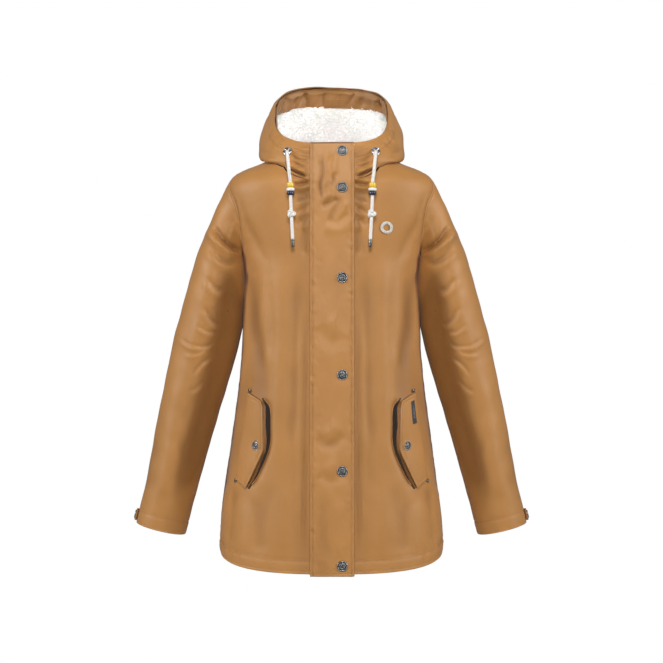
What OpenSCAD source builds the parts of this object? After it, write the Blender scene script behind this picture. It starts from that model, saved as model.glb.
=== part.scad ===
// A hooded raincoat, closed, hanging as it does when worn.
// The origin is the hang loop inside the back neck. The front faces -Y, +Z is up, millimetres.
// Left and right are the wearer's. Each side piece is drawn on the left, +X, and mirrored.

/* [Body] */
// Depth of the front hem below the hang loop
hem_z = 743; // [700:1:780]
// How much higher the hem is at the side seams
hem_rise = 40; // [0:1:60]
// Half of the hem's width
hem_half = 199; // [190:1:204]
// How far the side seams lie in front of the hang loop
mid_y = 85; // [80:1:90]
// Thickness of the coated shell
shell_t = 2; // [1.5:0.1:2.5]
// Thickness of the body lining
lining_t = 1.6; // [1:0.1:2]

/* [Front] */
// Width of the storm flap
flap_w = 76; // [70:1:84]
// Thickness of the storm flap
flap_t = 3; // [2:0.1:4]
// Gap between the two front panels, where the zip runs
zip_gap = 18; // [16:1:20]
// Diameter of the snap caps
cap_d = 19; // [15:0.5:21]

/* [Hood] */
// Half of the rim's width
rim_half = 102; // [96:1:106]
// Height of the rim's middle over the hang loop
rim_mid_z = 73; // [68:1:78]
// Thickness of the sherpa lining
sherpa_t = 7; // [5:0.5:8]

/* [Sleeve] */
// Lean of the hanging sleeve from the vertical, in degrees
lean = 13.5; // [12:0.1:15]
// Length from the shoulder pivot to the cuff
sleeve_l = 577; // [540:1:600]

/* [Draw cord] */
// Diameter of the cord
cord_d = 6; // [5:0.5:6]

/* [Hidden] */

$fn = 32;
TAN = [0.68, 0.49, 0.29];
DARK_TAN = [0.55, 0.38, 0.22];
LINING = [0.35, 0.27, 0.2];
SHERPA = [0.94, 0.92, 0.87];
METAL = [0.4, 0.38, 0.36];
WHITE = [0.95, 0.94, 0.9];

squareness = 2.3;      // of the body's cross-section: 2 is an ellipse
rim_squareness = 3;    // of the rim's outline
neck_z = -45;          // the neck seam at the front
front_slope = 0.0576;  // the front line leans out this much per millimetre down
gap = 0.6;             // between neighbouring pieces of one body

// Stations of the body, from the hem up: height, then half width, front depth or back depth.
WIDTH = [[-760, hem_half], [-655, hem_half - 1], [-577, 188], [-491, 177], [-406, 165], [-320, 157],
    [-250, 153], [-172, 152], [-110, 172], [-75, 178], [-45, 176], [-28, 160], [-11, 120], [6, 84]];
FRONT = [[-760, 97.4 + 760 * front_slope], [neck_z, 97.4 - neck_z * front_slope], [-11, 88], [6, 72]];
BACK = [[-760, 141], [-577, 132], [-450, 121], [-320, 113], [-172, 122], [-110, 120], [-45, 108],
    [-11, 97], [6, 88]];
// The neck seam's height round the body, by the angle from the front centre.
NECK = [[0, neck_z], [11, -44], [31, -21], [60, -9], [90, -3], [180, -3]];

// ---------- helpers ----------
function power(v, n) = sign(v) * pow(abs(v), 2 / n);
function mix(a, b, s) = a + (b - a) * s;
function unit(v) = v / norm(v);
function bezier(p, s) = let (r = 1 - s)
    r * r * r * p[0] + 3 * r * r * s * p[1] + 3 * r * s * s * p[2] + s * s * s * p[3];

// A closed solid between two grids of points, rows down and columns turning left to right
// as seen from outside.
module slab(outer, inner) {
    rows = len(outer);
    cols = len(outer[0]);
    n = rows * cols;
    points = concat([for (r = outer) for (p = r) p], [for (r = inner) for (p = r) p]);
    quads = concat(
        [for (i = [0:rows - 2]) for (j = [0:cols - 2]) let (a = i * cols + j)
            [a, a + 1, a + cols + 1, a + cols]],
        [for (i = [0:rows - 2]) for (j = [0:cols - 2]) let (a = n + i * cols + j)
            [a, a + cols, a + cols + 1, a + 1]],
        [for (j = [0:cols - 2]) let (a = j) [a, a + n, a + n + 1, a + 1]],
        [for (j = [0:cols - 2]) let (a = (rows - 1) * cols + j) [a, a + 1, a + n + 1, a + n]],
        [for (i = [0:rows - 2]) let (a = i * cols) [a, a + cols, a + cols + n, a + n]],
        [for (i = [0:rows - 2]) let (a = i * cols + cols - 1) [a, a + n, a + cols + n, a + cols]]);
    triangles = [for (q = quads) each [[q[0], q[1], q[2]], [q[0], q[2], q[3]]]];
    polyhedron(points, triangles);
}

// A closed tube wall between two grids whose columns go once round.
module tube_wall(outer, inner) {
    rows = len(outer);
    cols = len(outer[0]);
    n = rows * cols;
    points = concat([for (r = outer) for (p = r) p], [for (r = inner) for (p = r) p]);
    quads = concat(
        [for (i = [0:rows - 2]) for (j = [0:cols - 1])
            let (a = i * cols, b = a + cols, k = (j + 1) % cols) [a + j, a + k, b + k, b + j]],
        [for (i = [0:rows - 2]) for (j = [0:cols - 1])
            let (a = n + i * cols, b = a + cols, k = (j + 1) % cols) [a + j, b + j, b + k, a + k]],
        [for (j = [0:cols - 1]) let (k = (j + 1) % cols) [j, j + n, k + n, k]],
        [for (j = [0:cols - 1]) let (a = (rows - 1) * cols, k = (j + 1) % cols)
            [a + j, a + k, a + k + n, a + j + n]]);
    triangles = [for (q = quads) each [[q[0], q[1], q[2]], [q[0], q[2], q[3]]]];
    polyhedron(points, triangles);
}

// A solid tube with closed ends along a route.
module cord(route, d, sides = 8) {
    last = len(route) - 1;
    rings = [for (i = [0:last])
        let (t = unit(route[min(i + 1, last)] - route[max(i - 1, 0)]),
            u = unit(cross(t, [1, 0.02, 0.01])), w = cross(t, u))
        [for (j = [0:sides - 1]) let (a = 360 * j / sides)
            route[i] + d / 2 * (cos(a) * u + sin(a) * w)]];
    sweep = [for (i = [0:last - 1]) for (j = [0:sides - 1])
        let (a = i * sides, b = a + sides, k = (j + 1) % sides)
        each [[a + j, b + k, a + k], [a + j, b + j, b + k]]];
    ends = [for (j = [1:sides - 2]) each [[0, j, j + 1],
        [last * sides, last * sides + j + 1, last * sides + j]]];
    polyhedron([for (r = rings) for (p = r) p], concat(sweep, ends));
}

module right_side() mirror([1, 0, 0]) children();

// Puts a piece whose +Z points out of the coat at a place on it.
module facing(place, out) {
    tilt = acos(out[2] / norm(out));
    turn = atan2(out[1], out[0]);
    translate(place) rotate([0, tilt, turn]) children();
}

// ---------- the body's surface ----------
// A point of the body at an angle from the front centre, towards the left, and a height.
function on_body(a, z, inset = 0) = let (
    w = lookup(z, WIDTH) - inset,
    d = lookup(z, cos(a) > 0 ? FRONT : BACK) - inset)
    [w * power(sin(a), squareness), -mid_y - d * power(cos(a), squareness), z];
function angle_at(x, z) = asin(min(1, pow(x / lookup(z, WIDTH), squareness / 2)));
function body_out(a, z) = unit(cross(on_body(a, z - 2) - on_body(a, z + 2),
    on_body(a + 1, z) - on_body(a - 1, z)));
function neck_at(a) = lookup(a > 180 ? 360 - a : a, NECK);
function hem_at(a) = let (s = min(a, 180 - a) / 90) -hem_z + hem_rise * pow(s, 2.2);
// The straight line down the front centre, where the zip and the storm flap are.
function front_y(z) = -mid_y - 97.4 + front_slope * z;
front_tilt = atan(front_slope);
// How far inside the shell the lining lies.
function lining_inset(z) = lookup(z, [[-760, 14], [-380, 14], [-100, 6], [6, 6]]);

front_cols = 9;
body_rows = 17;
seam_a = 89.7;

function front_grid(inset, top_drop, bottom_lift, edge) = [for (i = [0:body_rows])
    [for (j = [0:front_cols]) let (
        s = j / front_cols,
        top = neck_at(s * seam_a) - top_drop,
        z = mix(top, hem_at(s * seam_a) + bottom_lift, i / body_rows),
        a = mix(angle_at(edge, z), seam_a, s))
        on_body(a, z, is_num(inset) ? inset : lining_inset(z) + inset[0])]];
function back_grid(inset, top_drop, bottom_lift) = [for (i = [0:body_rows])
    [for (j = [0:2 * front_cols]) let (
        a = mix(180 - seam_a, 180 + seam_a, j / (2 * front_cols)),
        over = a > 180 ? 360 - a : a,
        z = mix(neck_at(over) - top_drop, hem_at(over) + bottom_lift, i / body_rows))
        on_body(a, z, is_num(inset) ? inset : lining_inset(z) + inset[0])]];

// The room that the top of the sleeve turns in.
pivot = [169, -mid_y, -101];
armhole_r = 71;
armhole_deep = 61;
module armhole() {
    translate(pivot) rotate([90, 0, 0]) rotate_extrude() polygon(concat([[0, -armhole_deep]],
        [for (a = [-80:10:80]) [armhole_r * cos(a), armhole_deep * sin(a)]], [[0, armhole_deep]]));
}

module front_panel_left() {
    color(TAN) difference() {
        slab(front_grid(0, gap, 0, zip_gap / 2), front_grid(shell_t, gap, 0, zip_gap / 2));
        armhole();
        pocket_mouth();
    }
}
module front_lining_left() {
    color(LINING) difference() {
        slab(front_grid([0], 4, 45, 14), front_grid([lining_t], 4, 45, 14));
        armhole();
    }
}
module back_panel() {
    color(TAN) difference() {
        slab(back_grid(0, gap, 0), back_grid(shell_t, gap, 0));
        armhole();
        right_side() armhole();
    }
}
module back_lining() {
    color(LINING) difference() {
        slab(back_grid([0], 9, 45), back_grid([lining_t], 9, 45));
        armhole();
        right_side() armhole();
    }
}
// The strip of shell fabric turned up inside the hem, open at the zip.
module hem_facing() {
    strip_h = 40;
    function strip(inset) = [for (i = [0:1]) [for (j = [0:30]) let (
        a = mix(angle_at(14, -hem_z), 360 - angle_at(14, -hem_z), j / 30),
        over = a > 180 ? 360 - a : a)
        on_body(a, hem_at(over) + 1 + strip_h * (1 - i), inset)]];
    color(DARK_TAN) slab(strip(shell_t + gap), strip(shell_t + gap + 1.5));
}

// ---------- hood and neck stand ----------
// The rim is a rounded loop that leans back. The surface goes from it, out and down, to the neck seam.
rim_mid_y = -55;
rim_deep = 110.5;
rim_high = 51;
function rim_point(v) = [rim_half * power(sin(v), rim_squareness),
    rim_mid_y - rim_deep * power(cos(v), rim_squareness),
    rim_mid_z - rim_high * power(cos(v), rim_squareness)];
function over_back(v, table) = lookup(v > 180 ? 360 - v : v, table);
function hood(v, u) = let (
    out = [sin(v), -cos(v), 0],
    up = [0, 0, 1],
    rim = rim_point(v),
    neck = on_body(v, neck_at(v > 180 ? 360 - v : v)))
    bezier([rim,
        rim + over_back(v, [[0, 4], [90, 16], [180, 42]]) * out
            - over_back(v, [[0, 15], [90, 25], [180, 4]]) * up,
        neck + over_back(v, [[0, 3], [50, 16], [90, 45], [180, 80]]) * out
            + over_back(v, [[0, 15], [90, 8], [180, 2]]) * up,
        neck], u);
function hood_out(v, u) = unit(cross(hood(v, u + 0.01) - hood(v, u - 0.01),
    hood(v + 0.5, u) - hood(v - 0.5, u)));
function hood_grid(v0, v1, u0, u1, inset, rows, cols) = [for (i = [0:rows])
    [for (j = [0:cols]) let (v = mix(v0, v1, j / cols), u = mix(u0, u1, i / rows))
        hood(v, u) - inset * hood_out(v, u)]];
module hood_band(v0, v1, u0, u1, inset, t, rows, cols) {
    slab(hood_grid(v0, v1, u0, u1, inset, rows, cols),
        hood_grid(v0, v1, u0, u1, inset + t, rows, cols));
}
stand_v0 = 4;    // the stand's edge at the zip
stand_v1 = 46;   // and where it meets the moving hood
hood_v = 56;     // where the hood's own part of the rim begins
hood_u = 0.86;   // how far down the hood's part goes
band_u = 0.92;   // where the fixed band round the neck begins
channel = 9;     // depth of the rim's hem, with the draw cord in it

module hood_shell() color(TAN) hood_band(hood_v, 360 - hood_v, 0, hood_u, 0, shell_t, 10, 28);
module hood_facing()
    color(DARK_TAN) hood_band(hood_v, 360 - hood_v, 0.01, 0.22, channel, 1.5, 3, 28);
module hood_lining()
    color(SHERPA) hood_band(hood_v, 360 - hood_v, 0.24, hood_u, shell_t + 2, sherpa_t, 8, 28);
module neck_band() color(TAN)
    hood_band(stand_v1 + 0.5, 359.5 - stand_v1, band_u, 0.99, 0, shell_t, 2, 28);
module neck_stand_left() {
    color(TAN) difference() {
        hood_band(stand_v0, stand_v1, 0, 0.985, 0, shell_t, 7, 8);
        facing(eyelet_place, eyelet_out) cylinder(h = 12, r = eyelet_r - 1.5, center = true);
    }
}
module neck_lining_left()
    color(SHERPA) hood_band(stand_v0 + 2, stand_v1, 0.12, 0.9, 6, 4, 5, 7);
module rim_cord() {
    route = [for (v = [hood_v + 2:7.5:360 - hood_v - 2])
        hood(v, 0.1) - (channel + shell_t) / 2 * hood_out(v, 0.1)];
    color(WHITE) cord(route, cord_d);
}
module hang_loop() {
    // A flat cord loop on the neck seam, 60 mm wide, hanging inside the back neck.
    color(DARK_TAN) translate([0, 0, -12]) rotate([90, 0, 0]) linear_extrude(1.6, center = true)
        difference() {
            hull() for (x = [-24, 24]) translate([x, 8]) circle(r = 6);
            hull() for (x = [-22, 22]) translate([x, 7]) circle(r = 3.4);
        }
}

// ---------- eyelets and draw cords ----------
eyelet_v = 35.5;
eyelet_u = 0.36;
eyelet_r = 8;
eyelet_place = hood(eyelet_v, eyelet_u);
eyelet_out = hood_out(eyelet_v, eyelet_u);
cord_start = 3.8;   // from the shell out to where the free end of the cord begins
module eyelet_left() facing(eyelet_place, eyelet_out) difference() {
    union() {
        translate([0, 0, 0.4]) cylinder(h = 1.4, r = eyelet_r);
        translate([0, 0, -shell_t - 2]) cylinder(h = shell_t + 3, r = eyelet_r - 2);
    }
    translate([0, 0, -10]) cylinder(h = 20, r = eyelet_r - 4.3);
}
module eyelets() color(METAL) { eyelet_left(); right_side() eyelet_left(); }

// The route of a draw cord's free end, from the eyelet down to the aglet.
CORD_ROUTE = [[81, -162.8, 11.1], [82.5, -166.6, 13.1], [83.6, -171, 13.6], [84, -175.6, 12],
    [83.6, -179.8, 8.8], [82.6, -183.2, 4.2], [81.2, -185.6, -1.8], [79.4, -187.2, -9],
    [77.2, -188.6, -18], [75, -190, -30], [73, -192, -44], [72.7, -193, -56], [72.3, -194, -68],
    [72, -195, -80], [71.5, -196, -92], [71, -197, -104], [70.3, -198, -116], [69.8, -198.5, -126],
    [69.2, -199, -136], [68.7, -199.5, -148]];
bead_way = [CORD_ROUTE[10], CORD_ROUTE[14]];
bead_dir = unit(bead_way[1] - bead_way[0]);
BEADS = [[0, 8.4, 6.2], [9, 6, 7.5], [15.6, 6.6, 6.9]]; // start along the cord, height, radius
module along_cord(start, dir) facing(start, dir) children();
module drawcord_left() color(WHITE) cord(CORD_ROUTE, cord_d);
// The cord's stub inside the eyelet, behind where its free end begins.
stub_ends = [0.2, -5.4];   // along the eyelet's axis
module channel_cord_left() color(WHITE)
    cord([for (end = stub_ends) eyelet_place + end * eyelet_out], cord_d);
module cord_beads_left() {
    bore_r = cord_d / 2 + 0.9;
    color("gold") along_cord(bead_way[0], bead_dir) for (b = BEADS) translate([0, 0, b[0]])
        difference() {
            rotate_extrude() polygon([[0, 0], [b[2] - 1.5, 0], [b[2], 1.5], [b[2], b[1] - 1.5],
                [b[2] - 1.5, b[1]], [0, b[1]]]);
            translate([0, 0, -1]) cylinder(h = b[1] + 2, r = bore_r);
        }
}
// A ring-shaped lobe of the knot: its height and its outer radius.
module knot_lobe(h, r) rotate_extrude()
    polygon([[3.6, -h / 2], [r - 2, -h / 2], [r, 0], [r - 2, h / 2], [3.6, h / 2]]);
module cord_knot_left() {
    // An overhand knot: two lobes beside and across the cord.
    color(WHITE) translate(CORD_ROUTE[15]) {
        translate([2, -1, 4]) rotate([0, 20, 0]) knot_lobe(8, 9);
        translate([-1, -0.5, -4]) rotate([0, -15, 0]) knot_lobe(8, 8);
    }
}
module cord_aglet_left() {
    dir = unit([-3.7, -1.5, -15]);
    color(METAL) along_cord(CORD_ROUTE[19] + gap * dir, dir) {
        cylinder(h = 14, r1 = 3.4, r2 = 2.4);
        translate([0, 0, 13.9]) cylinder(h = 2, r1 = 2.4, r2 = 1.4);
    }
}

// ---------- zip ----------
zip_top = -50;
zip_bottom = -700;
zip_depth = 3.2;   // of the teeth's middle behind the front line
tape_t = 0.8;
// Draws along the front line: local +Z runs up it from a height, and -Y stays the front.
module on_front(z) translate([0, front_y(z), z]) rotate([-front_tilt, 0, 0]) children();
zip_len = (zip_top - zip_bottom) / cos(front_tilt);
module zip_tape_left() color(DARK_TAN) on_front(zip_bottom)
    translate([3.4, zip_depth - tape_t / 2, 0]) cube([12, tape_t, zip_len]);
module zip_teeth() {
    pitch = 10;
    tooth = [2, 2.4, 2.4];
    core = 2;           // the closed middle that the teeth stand on
    slider_room = 14;   // left free above the last tooth
    color(METAL) on_front(zip_bottom) {
        translate([-core / 2, zip_depth - core / 2, core]) cube([core, core, zip_len - slider_room]);
        for (i = [1:floor(zip_len / pitch) - 2], side = [-1, 1])
            translate([side * 1.9 - tooth[0] / 2, zip_depth - tooth[1] / 2, i * pitch + side * 1.6])
                cube(tooth);
    }
}
module zip_bottom_box() color(METAL) on_front(zip_bottom)
    translate([-4.5, zip_depth - 2, -9]) cube([9, 4, 8.5]);
module zip_slider() {
    w = 10;
    h = 11;
    bridge = [2.8, 1.1, 5];   // that the pull hangs from
    color(METAL) on_front(zip_top) translate([-w / 2, zip_depth, 0.5]) {
        translate([0, -3.4, 0]) cube([w, 1.4, h]);
        translate([0, 2, 0]) cube([w, 1.2, h]);
        translate([(w - bridge[0]) / 2, -4.4, 3]) cube(bridge);
    }
}
module zip_pull() {
    color(METAL) on_front(zip_top) translate([0, zip_depth - 4.9, -24]) rotate([90, 0, 0])
        translate([0, 0, -0.6]) linear_extrude(1) difference() {
            hull() { translate([0, 3]) circle(r = 3); translate([0, 25]) circle(r = 3.6); }
            translate([0, 28]) square([3.4, 8], center = true);
        }
}

// ---------- storm flap and its snaps ----------
flap_lift = 4;            // from the front line to the flap's inner face
flap_left_x = -36;        // the sewn edge, on the wearer's right
flap_top = 25;
snap_x = 19;
SNAP_Z = [9, -55, -217, -390, -561, -732];
// The flap leans back with the neck stand over the last stretch.
stand_lean = 17;
module storm_flap() {
    low = [front_y(-hem_z - 3), -hem_z - 3];
    bend = [front_y(neck_z), neck_z];
    top = [front_y(neck_z) + stand_lean, flap_top];
    color(TAN) translate([flap_left_x, 0, 0]) rotate([90, 0, 90]) linear_extrude(flap_w)
        polygon([low - [flap_lift, 0], bend - [flap_lift, 0], top - [flap_lift, 0],
            top - [flap_lift + flap_t, 0], bend - [flap_lift + flap_t, 0],
            low - [flap_lift + flap_t, 0]]);
}
function snap_base_y(z) = z > neck_z
    ? front_y(neck_z) + stand_lean * (z - neck_z) / (flap_top - neck_z) : front_y(z);
function snap_tilt(z) = z > neck_z ? atan(stand_lean / (flap_top - neck_z)) : front_tilt;
// Draws at each snap with +Z pointing forward, out of the coat, from the front line.
module at_snaps() for (z = SNAP_Z) translate([snap_x, snap_base_y(z), z])
    rotate([90 - snap_tilt(z), 0, 0]) children();
module flap_snap_caps() color(METAL) at_snaps() translate([0, 0, flap_lift + flap_t + 0.05])
    rotate_extrude() polygon([[0, 0], [cap_d / 2, 0], [cap_d / 2, 1], [cap_d / 2 - 1, 1.8],
        [cap_d / 2 - 2.4, 1.5], [cap_d / 2 - 4, 2.4], [0, 2.8]]);
module flap_snap_sockets() color(METAL) at_snaps() translate([0, 0, flap_lift - 2])
    difference() { cylinder(h = 1.8, r = 5.5); translate([0, 0, -1]) cylinder(h = 4, r = 3); }
module front_snap_studs() color(METAL) at_snaps() translate([0, 0, 0.6]) {
    cylinder(h = 0.9, r = 5.5);
    cylinder(h = 3, r = 1.9);
}

// ---------- pockets ----------
// A flap is a curved plate over the body's surface. It is sewn along its outer, slanted edge.
POCKET_SEWN = [[144, -424], [166, -575]];       // x and z of the sewn edge's ends
POCKET_FREE = [[121, -436], [116, -481], [118, -528], [140, -590]];
pocket_lift = 1.4;
pocket_t = 2.2;
function sewn_at(s) = mix(POCKET_SEWN[0], POCKET_SEWN[1], s);
function free_at(s) = let (n = len(POCKET_FREE) - 1, k = min(floor(s * n), n - 1))
    mix(POCKET_FREE[k], POCKET_FREE[k + 1], s * n - k);
function pocket_point(s, w, lift) = let (
    p = mix(free_at(s), sewn_at(s), w),
    a = angle_at(p[0], p[1]))
    on_body(a, p[1]) + lift * body_out(a, p[1]);
function pocket_grid(lift, rows = 12, cols = 6) = [for (i = [0:rows])
    [for (j = [0:cols]) pocket_point(i / rows, j / cols, lift)]];
module pocket_flap_left()
    color(TAN) slab(pocket_grid(pocket_lift + pocket_t), pocket_grid(pocket_lift));
pocket_snap = [132, -514];
module at_pocket_snap() {
    a = angle_at(pocket_snap[0], pocket_snap[1]);
    facing(on_body(a, pocket_snap[1]), body_out(a, pocket_snap[1])) children();
}
module pocket_cap_left() color(METAL) at_pocket_snap()
    translate([0, 0, pocket_lift + pocket_t + 0.3]) rotate_extrude()
        polygon([[0, 0], [cap_d / 2, 0], [cap_d / 2, 1], [cap_d / 2 - 1, 1.8],
            [cap_d / 2 - 2.4, 1.5], [cap_d / 2 - 4, 2.4], [0, 2.8]]);
module pocket_socket_left() color(METAL) at_pocket_snap() translate([0, 0, pocket_lift - 0.7])
    difference() { cylinder(h = 0.5, r = 5.5); translate([0, 0, -1]) cylinder(h = 4, r = 3); }
module pocket_stud_left() at_pocket_snap() translate([0, 0, -0.3]) cylinder(h = 0.8, r = 2);
module pocket_snap_studs() color(METAL) { pocket_stud_left(); right_side() pocket_stud_left(); }
// The slit in the front panel behind the flap's sewn edge.
module pocket_mouth() {
    s0 = [138, -446];
    s1 = [154, -562];
    function edge(lift) = [for (i = [0:8]) [for (j = [0:1]) let (
        p = mix(s0, s1, i / 8) - [5 * (1 - j), 0], a = angle_at(p[0], p[1]))
        on_body(a, p[1]) + lift * body_out(a, p[1])]];
    slab(edge(3), edge(-6));
}
module pocket_bag_left() {
    function bag(lift) = [for (i = [0:8]) [for (j = [0:6]) let (
        p = mix([62, -445], [150, -440], j / 6) + [0, mix(0, -175, i / 8)],
        a = angle_at(p[0], p[1]))
        on_body(a, p[1]) + lift * body_out(a, p[1])]];
    color(LINING) slab(bag(-4), bag(-8));
}
module rivet_left(p) {
    a = angle_at(p[0], p[1]);
    facing(on_body(a, p[1]), body_out(a, p[1])) translate([0, 0, 0.3]) cylinder(h = 1.2, r = 3.6);
}
RIVETS = [[146, -414], [171, -585]];
module pocket_rivets() color(METAL) for (p = RIVETS) {
    rivet_left(p);
    right_side() rivet_left(p);
}
module pocket_label() {
    function side_strip(lift) = [for (i = [0:4]) [for (j = [0:1])
        pocket_point(mix(0.12, 0.4, i / 4), mix(0.78, 0.95, j), lift)]];
    color([0.2, 0.2, 0.22]) slab(side_strip(pocket_lift + pocket_t + 1.1),
        side_strip(pocket_lift + pocket_t + 0.3));
}

// ---------- sleeves ----------
down = [sin(lean), 0, -cos(lean)];
away = [cos(lean), 0, sin(lean)];
// Distance from the pivot line to the outer and inner edge, and the half depth, down the sleeve.
OUTER = [[-80, 5], [-68, 14], [-58, 24], [-30, 32], [16, 41.5], [84, 50.8], [172, 54.7], [239, 56.8],
    [327, 54.2], [501, 47.4], [sleeve_l, 45.5]];
INNER = [[-80, 30], [-20, 42], [30, 44], [66, 29], [86, 32], [142, 46], [211, 56], [300, 55.6],
    [478, 47.4], [sleeve_l, 44.5]];
DEPTH = [[-80, 30], [-45, 46], [0, 57], [66, 57], [225, 55], [490, 49], [sleeve_l, 45.5]];
// The armhole seam, by the angle round the sleeve from its outer side.
SEAM = [[0, -66], [45, -40], [90, 0], [135, 45], [180, 68]];
function on_sleeve(phi, t, inset) = let (
    out = lookup(t, OUTER) - inset,
    in = lookup(t, INNER) - inset,
    mid = (out - in) / 2,
    half = (out + in) / 2)
    pivot + t * down + (mid + half * cos(phi)) * away
        + [0, -(lookup(t, DEPTH) - inset) * sin(phi), 0];
function sleeve_grid(inset, drop, end, rows = 16, cols = 16) = [for (i = [0:rows])
    [for (j = [0:cols - 1]) let (phi = -360 * j / cols,
        over = abs(phi) > 180 ? 360 - abs(phi) : abs(phi),
        t = mix(lookup(over, SEAM) + drop, end, pow(i / rows, 1.3)))
        on_sleeve(phi, t, inset)]];
module sleeve_left()
    color(TAN) tube_wall(sleeve_grid(0, 0, sleeve_l), sleeve_grid(shell_t, 0, sleeve_l));
module sleeve_lining_left() color(LINING)
    tube_wall(sleeve_grid(4, 3, sleeve_l - 25), sleeve_grid(4 + lining_t, 3, sleeve_l - 25));

// ---------- cuff tabs ----------
tab_w = 26;
tab_t = 2.2;
tab_r = 47.6;            // inner radius of the tab, round the cuff
tab_from = -14;          // degrees round from the cuff's outermost line, front end
tab_to = 62;             // and its sewn end, towards the back
tab_mid = sleeve_l - 17; // along the sleeve
// Draws round the cuff: local Z runs up the sleeve, X away from the body.
module at_cuff() translate(pivot + tab_mid * down) rotate([0, -lean, 0]) children();
module cuff_tab_left() color(TAN) at_cuff() rotate([0, 0, tab_from])
    rotate_extrude(angle = tab_to - tab_from) translate([tab_r, -tab_w / 2]) square([tab_t, tab_w]);
module cuff_stud_left() color(METAL) at_cuff() rotate([0, 90, 0])
    translate([0, 0, 46]) cylinder(h = 1.2, r = 2);
module cuff_snap_left() color(METAL) at_cuff() rotate([0, 90, 0])
    translate([0, 0, tab_r + tab_t + 0.2]) rotate_extrude()
        polygon([[0, 0], [7.5, 0], [7.5, 1], [6.5, 1.8], [0, 2.4]]);

front_panel_left();
right_side() front_panel_left();  // front_panel_right
back_panel();
front_lining_left();
right_side() front_lining_left();  // front_lining_right
back_lining();
hem_facing();
neck_stand_left();
right_side() neck_stand_left();  // neck_stand_right
neck_band();
neck_lining_left();
right_side() neck_lining_left();  // neck_lining_right
hang_loop();
eyelets();
zip_tape_left();
right_side() zip_tape_left();  // zip_tape_right
zip_teeth();
zip_bottom_box();
zip_slider();
zip_pull();
front_snap_studs();
pocket_snap_studs();
pocket_rivets();
pocket_bag_left();
right_side() pocket_bag_left();  // pocket_bag_right
hood_shell();
hood_facing();
hood_lining();
rim_cord();
storm_flap();
flap_snap_caps();
flap_snap_sockets();
pocket_flap_left();
right_side() pocket_flap_left();  // pocket_flap_right
pocket_cap_left();
right_side() pocket_cap_left();  // pocket_cap_right
pocket_socket_left();
right_side() pocket_socket_left();  // pocket_socket_right
pocket_label();
sleeve_left();
right_side() sleeve_left();  // sleeve_right
sleeve_lining_left();
right_side() sleeve_lining_left();  // sleeve_lining_right
cuff_stud_left();
right_side() cuff_stud_left();  // cuff_stud_right
cuff_tab_left();
right_side() cuff_tab_left();  // cuff_tab_right
cuff_snap_left();
right_side() cuff_snap_left();  // cuff_snap_right
drawcord_left();
right_side() drawcord_left();  // drawcord_right
cord_knot_left();
right_side() cord_knot_left();  // cord_knot_right
cord_aglet_left();
right_side() cord_aglet_left();  // cord_aglet_right
cord_beads_left();
right_side() cord_beads_left();  // cord_beads_right
channel_cord_left();
right_side() channel_cord_left();  // channel_cord_right
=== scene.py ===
"""The looks of a hooded raincoat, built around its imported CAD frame.

Metres, +Z up, the front faces -Y. Left is the wearer's, +X, and the right side is its mirror image.
Every piece of cloth starts as a grid of points on the coat's smooth form. The grid gets its folds,
seams and gathers as relief along its normals, and then a second wall a thickness behind.
"""

import math

import bpy
import numpy as np
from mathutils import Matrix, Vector


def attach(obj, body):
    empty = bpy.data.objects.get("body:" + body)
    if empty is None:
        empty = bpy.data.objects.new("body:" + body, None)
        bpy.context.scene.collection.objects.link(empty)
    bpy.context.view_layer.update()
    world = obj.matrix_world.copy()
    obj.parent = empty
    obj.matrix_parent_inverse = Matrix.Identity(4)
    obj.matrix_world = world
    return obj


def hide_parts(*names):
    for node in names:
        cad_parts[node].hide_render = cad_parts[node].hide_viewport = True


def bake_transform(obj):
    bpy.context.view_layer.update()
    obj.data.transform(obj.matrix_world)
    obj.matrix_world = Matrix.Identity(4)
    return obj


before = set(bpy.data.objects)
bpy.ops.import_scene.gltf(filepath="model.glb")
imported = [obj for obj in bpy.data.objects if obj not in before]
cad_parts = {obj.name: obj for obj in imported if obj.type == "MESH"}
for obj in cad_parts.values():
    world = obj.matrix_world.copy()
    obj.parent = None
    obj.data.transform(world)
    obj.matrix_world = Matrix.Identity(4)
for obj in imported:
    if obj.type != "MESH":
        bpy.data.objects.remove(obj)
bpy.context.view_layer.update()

LEFT, RIGHT = 1, -1
SIDES = {"left": LEFT, "right": RIGHT}

# ---------- the coat's form, as in the CAD source ----------
SQUARE = 2.3          # squareness of the body's cross-section: 2 is an ellipse
RIM_SQUARE = 3        # squareness of the hood's rim
MID_Y = -0.085        # the side seams
SLOPE = 0.0576        # how far the front line leans out for each metre down
HEM_Z = -0.7395       # the front hem
HEM_RISE = 0.040      # how much higher the hem is at the side seams
ZIP_HALF = 0.009      # half of the gap between the front panels
SHELL = 0.0014        # thickness of the coated shell
LEAN = math.radians(13.5)
SLEEVE_L = 0.577
PIVOT = np.array([0.169, MID_Y, -0.101])
DOWN = np.array([math.sin(LEAN), 0, -math.cos(LEAN)])
AWAY = np.array([math.cos(LEAN), 0, math.sin(LEAN)])

# Stations: height, then half width, front depth or back depth.
WIDTH = [(-.760, .199), (-.655, .198), (-.577, .188), (-.491, .177), (-.406, .165), (-.320, .157),
         (-.285, .1562), (-.250, .1555), (-.2, .155), (-.172, .158), (-.143, .170), (-.109, .184),
         (-.081, .189), (-.064, .190), (-.052, .187), (-.039, .179), (-.028, .163), (-.011, .120),
         (.006, .084)]
FRONT = [(-.760, .0974 + .760 * SLOPE), (-.045, .0974 + .045 * SLOPE), (-.011, .088), (.006, .072)]
BACK = [(-.760, .141), (-.577, .132), (-.450, .121), (-.320, .113), (-.172, .122), (-.110, .120),
        (-.045, .108), (-.011, .097), (.006, .088)]
NECK = [(0, -.045), (11, -.044), (31, -.021), (60, -.009), (90, -.003), (180, -.003)]
LINING_IN = [(-.760, .013), (-.380, .013), (-.100, .006), (.006, .006)]
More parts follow.
